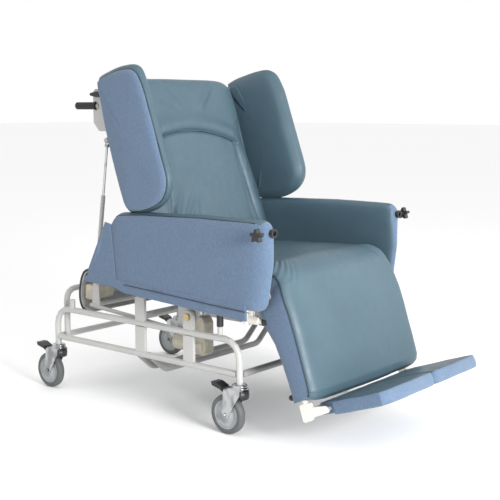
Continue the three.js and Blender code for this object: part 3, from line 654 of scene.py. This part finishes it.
def skirt_point(u, v):
    """A point of the panel's outline, u from front to rear and v from its foot to its top."""
    if u > 0.999:
        along = v * (len(SKIRT_REAR) - 1)
        i = min(int(along), len(SKIRT_REAR) - 2)
        return SKIRT_REAR[i] + (SKIRT_REAR[i + 1] - SKIRT_REAR[i]) * (along - i)
    lower = np.array([np.interp(u, FOOT_STATIONS, SKIRT_FOOT[:, k]) for k in range(2)])
    upper = np.array([np.interp(u, TOP_STATIONS, SKIRT_TOP[:, k]) for k in range(2)])
    return lower + (upper - lower) * v


def skirt(side, sign):
    """The cloth panel under the arm: a hemmed band that runs back into the gusset beside the back rest."""
    nu, nv = 110, 22
    verts, faces = [], []
    for depth in (0.4498, 0.4428):
        for u in np.linspace(0, 1, nu):
            for v in np.linspace(0, 1, nv):
                y, z = skirt_point(u, v)
                band = np.clip((y + 0.36) / 0.04, 0, 1) * np.clip((0.44 - y) / 0.05, 0, 1)
                wave = noise.noise(Vector((y * 14, z * 5, 3.3 * sign)))
                fold = noise.noise(Vector((y * 34 + z * 16, z * 8, 9.1 * sign)))
                x = depth + band * (0.0022 * wave + 0.0012 * fold) * (1 - 0.4 * v)
                verts.append((sign * x, y, z))
    per = nu * nv
    for k in range(2):
        for i in range(nu - 1):
            for j in range(nv - 1):
                a = k * per + i * nv + j
                faces.append((a, a + nv, a + nv + 1, a + 1))
    rim = [i * nv for i in range(nu)] + [(nu - 1) * nv + j for j in range(1, nv)]
    rim += [i * nv + nv - 1 for i in range(nu - 2, -1, -1)] + [j for j in range(nv - 2, 0, -1)]
    add_wall(verts, faces, rim, per, 0, None)
    obj = piece("skirt_cover_" + side, verts, faces, [BLUE])
    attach(obj, "seat")
    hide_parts("side_skirt_" + side)
    line = [(sign * 0.4512, y, z + HEM_SEAM_HEIGHT) for y, z in SKIRT_FOOT[:5].tolist()]
    points = []
    for start, end in zip(line, line[1:]):
        for t in np.linspace(0, 1, 12, endpoint=False):
            points.append([a + (b - a) * t for a, b in zip(start, end)])
    points.append(line[-1])
    # the cord along the hem is near-black: painted shade of its fold
    seam = welt("skirt_seam_" + side, points, 0.0019, HEM_SHADE, closed=False)
    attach(seam, "seat")


for side, sign in SIDES:
    skirt(side, sign)


# ---------------- back cushion
# the height where the front plane's own measure s starts
BACK_FOOT = 0.578
BACK_HEIGHT, BACK_HALF, BACK_DEPTH = 0.766, 0.366, 0.098
# half the distance between the side bolsters, above their flare
BOLSTER = 0.212
# heights, and how far from the middle the front turns over to its raked side
TURN_Z = [0.578, 0.714, 0.789, 0.864, 0.964, 1.050, 1.100, 1.190, 1.270, 1.290, 1.315]
TURN_X = [0.338, 0.328, 0.322, 0.316, 0.299, 0.279, 0.276, 0.292, 0.282, 0.272, 0.262]
# pleats under the arched seam's ends: (distance from the middle, slant, depth)
PLEATS = ((0.203, 0.02, 0.0052), (0.226, -0.04, 0.0044), (0.244, -0.09, 0.0030))
# folds: (x, s, direction, height, width, length); they fan up from the low corners, cross the head part, and
# run in from the sitter's left side
FOLDS = (
    (-0.285, 0.10, 1.10, 0.0090, 0.012, 0.24), (-0.235, 0.08, 0.98, 0.0082, 0.011, 0.25),
    (-0.17, 0.06, 1.25, 0.0056, 0.013, 0.22), (0.20, 0.02, 2.1, 0.0042, 0.014, 0.22),
    (0.29, 0.03, 1.9, 0.0050, 0.012, 0.2),
    (-0.17, 0.735, -0.90, 0.0040, 0.016, 0.17), (0.14, 0.745, -2.35, 0.0040, 0.016, 0.17),
    (-0.20, 0.66, -0.45, 0.0022, 0.012, 0.14),
    (0.275, 0.600, -2.55, 0.0030, 0.007, 0.075), (0.268, 0.570, -2.45, 0.0030, 0.006, 0.070),
    (0.262, 0.540, -2.35, 0.0028, 0.006, 0.060), (0.255, 0.505, -2.2, 0.0026, 0.006, 0.060),
    (0.268, 0.440, -1.9, 0.0026, 0.007, 0.09), (0.285, 0.38, -1.8, 0.0024, 0.007, 0.10))


def bell(t):
    return math.exp(-(t ** 2))


def back_point(x, s, n):
    """s runs up the back's front plane from z = BACK_FOOT, n out of it towards the sitter."""
    z = BACK_FOOT + s * math.cos(LEAN) + n * math.sin(LEAN)
    y = BACK_Y + SLOPE * (BACK_FOOT - BACK_Z) + s * math.sin(LEAN) - n * math.cos(LEAN)
    return (x, y, z)


def arc_s(x):
    """Height along the back of the arched head seam, which sits a little lower towards the sitter's left."""
    k = x / BOLSTER
    return (1.099 - BACK_FOOT - 0.031 * k * k - 0.017 * k) / math.cos(LEAN)


def back_half_width(s):
    """Where the front of the back turns over to its raked side, at height s."""
    return float(np.interp(BACK_FOOT + s * math.cos(LEAN), TURN_Z, TURN_X))


def on_panel(u, v):
    """The place (x, s) of a point of the square grid, whose corners are drawn in to round the panel."""
    cu, cv = abs(u), abs(v)
    draw = 0.10
    a = u * (1 - draw * max(0.0, cv - 0.55) ** 2 * cu ** 3 * 2.2)
    c = v * (1 - draw * max(0.0, cu - 0.55) ** 2 * cv ** 3 * 1.6)
    return a * BACK_HALF, (c * 0.5 + 0.5) * BACK_HEIGHT


def seam_relief(x, s):
    """The side bolsters below the arch, and the bulge and groove of the arched seam."""
    n = 0.0
    arch = arc_s(max(-0.24, min(x, 0.24)))
    below = 1 / (1 + math.exp((s - arch) / 0.014))
    spread = BOLSTER + 0.060 * (1 - s / arch) if s < arch else BOLSTER
    n += 0.006 * bell((abs(x) - spread - 0.028) / 0.024) * below
    n -= 0.0075 * bell((abs(x) - spread) / 0.0075) * below * min(1.0, s / 0.15)
    if abs(x) < 0.25:
        d = s - arch
        fade = min(1.0, (0.25 - abs(x)) / 0.045)
        bulge = bell((max(d, 0.0) - 0.026) / 0.032)
        n += fade * 0.013 * bulge * (1.0 if d > 0 else bell(d / 0.004))
        n -= fade * 0.010 * bell((d + 0.005) / 0.0060)
    for end in (-1, 1):
        for m, (off, slant, depth) in enumerate(PLEATS):
            centre = end * (off + slant * max(0.0, arch - s))
            length = math.exp(-max(0.0, arch - s) / (0.16 - 0.03 * m)) * (s < arch + 0.004)
            n -= depth * length * bell((x - centre) / 0.006)
    return n


def fold_relief(x, s):
    """Soft ridges with a hollow beside each, along FOLDS."""
    n = 0.0
    lead = 0.03
    for x0, s0, angle, height, width, reach in FOLDS:
        along = (x - x0) * math.cos(angle) + (s - s0) * math.sin(angle)
        across = -(x - x0) * math.sin(angle) + (s - s0) * math.cos(angle)
        if -lead < along < reach:
            ease = math.sin(math.pi * (along + lead) / (reach + lead)) ** 0.8
            n += height * ease * bell(across / width)
            n -= 0.6 * height * ease * bell((across - 1.7 * width) / width)
    return n


def back_front(u, v):
    x, s = on_panel(u, v)
    # the raked sides fall away beyond a soft roll, and the top and bottom edges turn over
    roll = 0.020
    over = (abs(x) - back_half_width(s) + 0.012) / roll
    n = -0.90 * roll * (math.log1p(math.exp(min(over, 30))) if over < 30 else over)
    n = max(n, -0.084)
    n -= 0.030 * math.exp(-(1 - abs(v)) / 0.035)
    n += 0.010 * (1 - u * u) - 0.004
    n += seam_relief(x, s) + fold_relief(x, s)
    n += 0.0020 * noise.noise(Vector((x * 8, s * 6, 1.7)))
    n += 0.0008 * noise.noise(Vector((x * 30, s * 22, 4.2)))
    return back_point(x, s, n - 0.006)


def back_rear(u, v):
    x, s = on_panel(u, v)
    n = -BACK_DEPTH + 0.012 * math.exp(-(1 - abs(u)) / 0.05) + 0.012 * math.exp(-(1 - abs(v)) / 0.04)
    return back_point(x, s, n)


def back_cushion():
    nu, nv = 150, 160
    per = nu * nv
    verts = [surface(u, v) for surface in (back_front, back_rear)
             for v in np.linspace(-1, 1, nv) for u in np.linspace(-1, 1, nu)]
    faces = grid_faces(nv, nu, 0) + grid_faces(nv, nu, per)
    rim = rim_of(nv, nu)
    centre = np.mean([verts[i] for i in rim] + [verts[i + per] for i in rim], axis=0)
    axis = np.array([0, math.cos(LEAN), -math.sin(LEAN)])

    def push(p, t):
        outward = p - centre
        outward -= axis * (outward @ axis)
        outward /= np.linalg.norm(outward)
        return outward * 0.008 * math.sin(math.pi * t)

    add_wall(verts, faces, rim, per, 5, push)
    line = []
    for x in np.linspace(-0.222, 0.214, 60):
        # the sewn line lies in its groove: the nearest grid point's depth, at the line's own place
        s = arc_s(x) - 0.0045
        row = int(round(s / BACK_HEIGHT * (nv - 1)))
        column = int(round((x / BACK_HALF * 0.5 + 0.5) * (nu - 1)))
        near = np.array(verts[row * nu + column])
        place = np.array(back_point(x, s, 0.0))
        out = -axis
        line.append(place + out * ((near - place) @ out + 0.0006))
    line = np.array(line)
    line[:, 1:] = (line[:, 1:] + np.roll(line, 1, 0)[:, 1:] + np.roll(line, -1, 0)[:, 1:]) / 3
    # the cord is near-black: painted shade in the arched seam's groove
    seam = welt("back_seam", line[1:-1], 0.0021, SEAM_SHADE, closed=False)
    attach(seam, "back")
    obj = piece("back_cover", verts, faces, [TEAL])
    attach(obj, "back")
    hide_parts("back_cushion")


back_cushion()


# ---------------- seat and leg rest cover
KNEE = np.array([-0.352, 0.572])
LEG_LEAN = math.radians(19.5)


def on_leg(s, n):
    """s runs down the leg rest from the knee, n out of its front."""
    down = np.array([-math.sin(LEG_LEAN), -math.cos(LEG_LEAN)])
    out = np.array([-math.cos(LEG_LEAN), math.sin(LEG_LEAN)])
    return KNEE + s * down + n * out


# the cover's sides are vinyl on the seat and cloth on the leg rest, and change this far before the knee
CLOTH_BEFORE_KNEE = 0.055


def seat_cover():
    """One vinyl cover from the back of the seat over the knee and down the leg rest, on blue cloth sides."""
    # the section's outer line, from the seat's rear top forward, over the nose and down the leg rest's front
    outer = [(0.098, 0.612), (0.060, 0.628), (-0.10, 0.6360), (-0.25, 0.6430)]
    # the line that the cover's side ends on, and the line of the pad's underside
    hem = [(0.098, 0.520), (0.060, 0.5015), (-0.10, 0.5012), (-0.25, 0.5012)]
    base = [(0.098, 0.522), (0.060, 0.5025), (-0.10, 0.5022), (-0.25, 0.5022)]
    nose, nose_radius = np.array([-0.376, 0.5425]), 0.105
    for k in range(11):
        a = math.radians(90 + k * 7.05)
        t = k / 10.0
        outer.append(nose + nose_radius * np.array([math.cos(a), math.sin(a)]))
        bend = (1 - t) ** 2 * np.array([-0.295, 0.5012]) + 2 * t * (1 - t) * np.array([-0.372, 0.5000])
        hem.append(bend + t * t * on_leg(0.085, -0.030))
        base.append(bend + t * t * on_leg(0.070, 0.0555) + np.array([0.0, 0.001]) * (1 - t))
    for s, rear in ((0.115, -0.030), (0.16, -0.018), (0.22, 0.002), (0.30, 0.012), (0.37, 0.016)):
        outer.append(on_leg(s, 0.1165 + 0.005 * math.sin(math.pi * s / 0.44)))
        hem.append(on_leg(s, rear))
        base.append(on_leg(s, 0.0555))
    for s, n in ((0.412, 0.1165), (0.434, 0.107), (0.4440, 0.092)):
        outer.append(on_leg(s, n))
        hem.append(on_leg(min(s, 0.436), 0.017))
        base.append(on_leg(min(s, 0.432), 0.0555))

    def resample(line, count):
        # equal steps of point number, so that the three lines stay in step
        line = np.array(line)
        run = run_along(line)
        return read_line(line, run, np.interp(np.linspace(0, 1, count), np.linspace(0, 1, len(run)), run))

    nu, nv = 120, 190
    outer, hem, base = (resample(line, nv) for line in (outer, hem, base))
    along = run_along(outer)
    knee_at = along[np.argmin(np.abs(outer[:, 1] - 0.60) + (outer[:, 0] > -0.36))]
    hem_thickness = 0.0042

    def width(v):
        # the seat is narrower than the leg rest, which spreads to its sides below the arms
        t = np.clip((along[v] - knee_at + 0.02) / 0.10, 0, 1)
        return 0.3515 + 0.0130 * (t * t * (3 - 2 * t))

    def leg_share(v):
        return np.clip((along[v] - knee_at) / 0.12, 0, 1)

    def knee_folds(x, a):
        # small folds where the seat turns down beside the arms
        h = 0.0
        for sgn in (-1, 1):
            for m in range(4):
                across, ahead = (x - sgn * (0.340 - 0.012 * m)) * sgn * -1, a - (knee_at - 0.070 + 0.024 * m)
                angle = 0.65 + 0.12 * m
                p = across * math.cos(angle) - ahead * math.sin(angle)
                q = across * math.sin(angle) + ahead * math.cos(angle)
                if -0.03 < p < 0.11:
                    ease = math.sin(math.pi * (p + 0.03) / 0.14)
                    h += 0.0036 * ease * bell(q / 0.0060) - 0.0034 * ease * bell((q - 0.011) / 0.0055)
        return h

    verts, faces, looks = [], [], []
    tangent = np.gradient(outer, axis=0)
    tangent /= np.linalg.norm(tangent, axis=1)[:, None]
    normal = np.column_stack([tangent[:, 1], -tangent[:, 0]])
    normal *= np.sign((normal * (outer - base)).sum(axis=1))[:, None]
    for v in range(nv):
        w, a, leg = width(v), along[v], leg_share(v)
        for k in range(nu):
            u = -1 + 2 * k / (nu - 1)
            e = 1 - abs(u)
            drop = -0.020 * math.exp(-e / 0.050) - 0.012 * math.exp(-e / 0.16) * (1 - 0.75 * leg)
            h = drop + 0.007 * (1 - u * u) + knee_folds(u * w, a)
            h += 0.0020 * noise.noise(Vector((u * 3.2, a * 7, 2.2)))
            h += 0.0007 * noise.noise(Vector((u * 10, a * 24, 6.1)))
            p = outer[v] + normal[v] * h
            verts.append((u * w * (1 - 0.003 * (1 - leg)), p[0], p[1]))
    # the sides: down from the cover's edge to its hem, which is six steps, one more round the hem's
    # thickness, and then back up inside to the pad's underside
    outside, n_side = 6, 9

    def edge_point(v):
        return outer[v] + normal[v] * (-0.020 - 0.012 * (1 - 0.75 * leg_share(v)))

    def side_vertex(v, sgn, k):
        w = width(v)
        if k <= outside:
            t = k / outside
            p = edge_point(v) + (hem[v] - edge_point(v)) * t
            wave = 0.0012 * noise.noise(Vector((p[0] * 18, p[1] * 10, 5.0 * sgn)))
            bulge = 0.0030 * math.sin(math.pi * t) - 0.0015 * t + wave * math.sin(math.pi * min(1.0, t * 1.2))
            return (sgn * (w + bulge - 0.0003), p[0], p[1])
        t = (k - outside - 1) / (n_side - outside - 1)
        p = hem[v] + (base[v] - hem[v]) * t
        return (sgn * (w - 0.0015 - hem_thickness - 0.0004 * t), p[0], p[1])

    under = {}
    for sgn in (-1, 1):
        for v in range(nv):
            for k in range(1, n_side + 1):
                under[(sgn, v, k)] = len(verts)
                verts.append(side_vertex(v, sgn, k))

    def top(v, k):
        return v * nu + k

    def side_look(v):
        return int(along[v] > knee_at - CLOTH_BEFORE_KNEE)

    for v in range(nv - 1):
        for k in range(nu - 1):
            faces.append((top(v, k), top(v, k + 1), top(v + 1, k + 1), top(v + 1, k)))
            looks.append(0)
    for sgn in (-1, 1):
        column = 0 if sgn < 0 else nu - 1
        for v in range(nv - 1):
            here, ahead = ([top(w, column)] + [under[(sgn, w, k)] for k in range(1, n_side + 1)]
                           for w in (v, v + 1))
            for k in range(n_side):
                faces.append((here[k], here[k + 1], ahead[k + 1], ahead[k]))
                looks.append(side_look(v))
    # the underside and the two ends
    for v in range(nv - 1):
        faces.append((under[(-1, v, n_side)], under[(1, v, n_side)],
                      under[(1, v + 1, n_side)], under[(-1, v + 1, n_side)]))
        looks.append(side_look(v))
    for v in (0, nv - 1):
        ring = [top(v, k) for k in range(nu)] + [under[(1, v, k)] for k in range(1, n_side + 1)]
        ring += [under[(-1, v, k)] for k in range(n_side, 0, -1)]
        faces.append(tuple(ring))
        looks.append(0 if v == 0 else 1)
    obj = piece("seat_and_leg_cover", verts, faces, [TEAL, BLUE], looks)
    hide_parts("seat_cushion", "legrest_pad")
    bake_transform(obj)
    # the seam between vinyl and cloth down both sides of the leg rest, as a near-black cord: painted shade of
    # the crease there
    for side, sgn in SIDES:
        pts = []
        for v in range(nv):
            if side_look(v) and v < nv - 3:
                p = edge_point(v)
                pts.append((sgn * (width(v) + 0.0002), p[0], p[1]))
        seam = welt("leg_seam_" + side, pts, 0.0018, SEAM_SHADE, closed=False)
        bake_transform(seam)


seat_cover()


# ---------------- footplate
FOOT_RISE = math.radians(20)
HINGE = on_leg(0.481, 0.122)


def on_foot(d, h):
    """d runs forwards along the plate from its hinge, h up out of it."""
    ahead = np.array([-math.cos(FOOT_RISE), math.sin(FOOT_RISE)])
    up = np.array([math.sin(FOOT_RISE), math.cos(FOOT_RISE)])
    return HINGE + d * ahead + h * up


FOOT_HALF, FOOT_NEAR, FOOT_FAR = 0.333, -0.056, 0.246


def front_edge(x):
    # the two halves meet in a notch at the middle of the front edge, and bulge a little beside it
    notch = 0.016 * bell(x / 0.010)
    bulge = 0.006 * math.sin(math.pi * min(1.0, abs(x) / 0.33)) ** 2
    return FOOT_FAR - notch + bulge - 0.014 * max(0.0, (abs(x) - 0.29) / 0.042) ** 2


def rear_edge(x):
    # cut-outs for the hinge arms
    return FOOT_NEAR + (0.036 - FOOT_NEAR) * np.clip((abs(x) - 0.284) / 0.012, 0, 1)


def foot_surface(u, v, side):
    """A point of the pad's top, where side is 1, or of its underside."""
    x = u * FOOT_HALF
    near = rear_edge(x)
    d = near + (front_edge(x) - near) * v
    crown = 0.006 * (1 - math.exp(-(1 - abs(u)) / 0.06)) * (1 - math.exp(-min(v, 1 - v) / 0.10))
    if side > 0:
        h = 0.022 + crown - 0.007 * bell(x / 0.008)
        h += 0.0014 * noise.noise(Vector((x * 12, d * 16, 3.0)))
    else:
        h = -0.0235 + 0.002 * noise.noise(Vector((x * 9, d * 9, 7.0))) + 0.010 * max(0.0, 0.3 - v)
    return (x, *on_foot(d, h))


def foot_pad():
    """A cloth pad in two halves on the footplate, with a vinyl top."""
    nu, nd = 130, 44
    per = nu * nd
    verts = [foot_surface(u, v, side) for side in (1, -1)
             for v in np.linspace(0, 1, nd) for u in np.linspace(-1, 1, nu)]
    faces = grid_faces(nd, nu, 0)
    top_faces = len(faces)
    faces += grid_faces(nd, nu, per)
    middle = np.array([0, *on_foot(0.13, 0.0)])

    def push(p, t):
        out = p - middle
        out = np.array([np.sign(out[0]) * max(0.0, abs(out[0]) - 0.25), out[1], out[2]])
        out /= max(1e-6, np.linalg.norm(out))
        puff = 0.0045 * math.sin(math.pi * t) ** 0.7
        puff += 0.0026 * noise.noise(Vector((p[0] * 15, 0.4, 0.7)))
        puff += 0.0012 * noise.noise(Vector(tuple(p * 34)))
        return out * puff

    add_wall(verts, faces, rim_of(nd, nu), per, 6, push)
    looks = [0] * top_faces + [1] * (len(faces) - top_faces)
    obj = piece("footplate_cover", verts, faces, [TEAL, BLUE], looks)
    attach(obj, "footplate")
    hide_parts("footplate")


foot_pad()


# ---------------- castors
def lathe(name, profile, place, mats, look, count=72):
    """A closed profile of (radius, depth) points turned about an axis. place(radius, angle, depth) gives
    a point's place in space, and look(i) the material of the ring from profile point i to the next."""
    n = len(profile)
    verts = [place(r, 2 * math.pi * k / count, d) for k in range(count) for r, d in profile]
    faces, looks = [], []
    for k in range(count):
        a, b = k * n, (k + 1) % count * n
        for i in range(n):
            j = (i + 1) % n
            faces.append((a + i, a + j, b + j, b + i))
            looks.append(look(i))
    return piece(name, verts, faces, mats, looks)


# half of the wheel's section, from the hub to the middle of the tread
HALF_WHEEL = [
    (0.0120, 0.0172), (0.0150, 0.0168), (0.0158, 0.0150), (0.0250, 0.0140), (0.0268, 0.0112),
    (0.0420, 0.0100), (0.0436, 0.0104), (0.0446, 0.0132), (0.0470, 0.0134), (0.0480, 0.0108),
    (0.0505, 0.0106), (0.0515, 0.0132), (0.0530, 0.0140), (0.0545, 0.0142), (0.0560, 0.0152),
    (0.0630, 0.0160), (0.0685, 0.0150), (0.0728, 0.0112), (0.0743, 0.0050)]
HUB_RINGS = 13
WHEEL = HALF_WHEEL + [(r, -d) for r, d in reversed(HALF_WHEEL)]
CASTOR_X, TRAIL, AXLE_Z = 0.372, 0.055, 0.07436
RACE = [
    (0.0125, 0.1962), (0.0235, 0.1962), (0.0285, 0.1938), (0.0292, 0.1900), (0.0262, 0.1884),
    (0.0262, 0.1868), (0.0302, 0.1850), (0.0306, 0.1806), (0.0280, 0.1780), (0.0125, 0.1780)]
RACE_GAP = 4
GUARD = [(0.0322, 0.176), (0.0340, 0.176), (0.0352, 0.158), (0.0330, 0.143), (0.0312, 0.143), (0.0334, 0.158)]
NUT = [
    (0.0005, 0.0222), (0.0070, 0.0222), (0.0076, 0.0240), (0.0070, 0.0268), (0.0040, 0.0276),
    (0.0005, 0.0276)]


def is_hub(i):
    return int(i < HUB_RINGS or i >= len(WHEEL) - HUB_RINGS - 1)


def castor(end, y0, side, sign):
    """The wheel, ball race, guard and axle nuts of one castor, which swivels about x0, y0."""
    x0 = sign * CASTOR_X
    body = end + "_" + side
    wheel = lathe(
        "wheel_" + body + "_detail", WHEEL,
        lambda r, a, d: (x0 + d, y0 + TRAIL + r * math.cos(a), AXLE_Z + r * math.sin(a)),
        [TYRE, HUB], is_hub, 80)
    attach(wheel, "wheel_" + body)
    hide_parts("castor_wheel_" + body)
    race = lathe(
        "ball_race_" + body, RACE,
        lambda r, a, z: (x0 + r * math.cos(a), y0 + r * math.sin(a), z),
        [CHROME, BLACK], lambda i: int(i == RACE_GAP), 48)
    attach(race, "castor_" + body)
    # a black guard curls round the leading side, below the ball race
    verts, faces = [], []
    steps, n = 14, len(GUARD)
    for k in range(steps + 1):
        a = math.radians(-90 - 52 + 104 * k / steps)
        verts += [(x0 + r * math.cos(a), y0 + r * math.sin(a), z) for r, z in GUARD]
    for k in range(steps):
        for i in range(n):
            j = (i + 1) % n
            faces.append((k * n + i, k * n + j, (k + 1) * n + j, (k + 1) * n + i))
    faces.append(tuple(range(n)))
    faces.append(tuple(steps * n + i for i in range(n))[::-1])
    guard = piece("castor_guard_" + body, verts, faces, [BLACK])
    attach(guard, "castor_" + body)
    for out in (-1, 1):
        nut = lathe(
            "axle_nut_%s_%s" % (body, "outer" if out == sign else "inner"), NUT,
            lambda r, a, d: (x0 + out * d, y0 + TRAIL + r * math.cos(a), AXLE_Z + r * math.sin(a)),
            [CHROME], lambda i: 0, 24)
        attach(nut, "castor_" + body)


for side, sign in SIDES:
    castor("front", -0.273, side, sign)
    castor("rear", 0.730, side, sign)


# ---------------- small fittings
# the rear cover's outline, and the section of the sleeve on a stop
COVER_EDGE = [
    (0.5560, 0.5290), (0.5800, 0.5240), (0.6020, 0.5120), (0.6170, 0.4880), (0.6260, 0.4600),
    (0.6310, 0.4280), (0.6310, 0.3980), (0.6250, 0.3760), (0.6120, 0.3580), (0.5860, 0.3500),
    (0.5520, 0.3465)]
SLEEVE = [
    (0.0102, 0.395), (0.0126, 0.395), (0.0130, 0.398), (0.0130, 0.463), (0.0122, 0.467), (0.0102, 0.467)]


def trims():
    """The black edging of the rear cover, and the sleeves on the side frames' stops."""
    for side, sign in SIDES:
        line = curved([(sign * 0.3325, y, z) for y, z in COVER_EDGE], 6)
        edge = welt("cover_edging_" + side, line, 0.0050, BLACK, closed=False)
        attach(edge, "seat")
        sleeve = lathe(
            "stop_sleeve_" + side, SLEEVE,
            lambda r, a, z: (sign * 0.372 + 0.007 + r * math.cos(a), -0.174 + r * math.sin(a), z),
            [BLACK], lambda i: 0, 32)
        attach(sleeve, "base")


trims()


# ---------------- camera, floor and light
def camera():
    data = bpy.data.cameras.new("camera")
    data.sensor_width = 36
    data.sensor_fit = "HORIZONTAL"
    data.lens = 72.58
    cam = bpy.data.objects.new("camera", data)
    bpy.context.scene.collection.objects.link(cam)
    yaw, pitch = math.radians(50.62), math.radians(-8.07)
    look = Vector((math.sin(yaw) * math.cos(pitch), math.cos(yaw) * math.cos(pitch), math.sin(pitch)))
    cam.location = (-3.093, -2.555, 1.191)
    cam.rotation_euler = look.to_track_quat("-Z", "Y").to_euler()
    bpy.context.scene.camera = cam


def studio():
    corners = [(-60, -60, 0), (60, -60, 0), (60, 60, 0), (-60, 60, 0)]
    floor = piece("studio_floor", corners, [(0, 1, 2, 3)], [], smooth=False)
    m, tree, shader = material("studio_white", (0.93, 0.93, 0.93), 0.9)
    floor.data.materials.append(m)
    floor.location.z = -0.0008
    world = bpy.data.worlds.new("studio")
    world.use_nodes = True
    world.node_tree.nodes["Background"].inputs["Color"].default_value = (1, 1, 1, 1)
    world.node_tree.nodes["Background"].inputs["Strength"].default_value = 1.0
    bpy.context.scene.world = world
    lights = (
        ("key", (-1.35, -4.4, 1.6), 1.4, 262), ("fill", (3.2, -3.0, 2.4), 2.0, 30),
        ("top", (-0.5, -0.6, 4.4), 1.8, 20))
    for name, at, size, power in lights:
        light = bpy.data.lights.new(name, "AREA")
        light.size = size
        light.energy = power
        obj = bpy.data.objects.new(name, light)
        bpy.context.scene.collection.objects.link(obj)
        obj.location = at
        obj.rotation_euler = (Vector((0, 0, 0.6)) - Vector(at)).to_track_quat("-Z", "Y").to_euler()
    bpy.context.scene.view_settings.view_transform = "Standard"


camera()
studio()
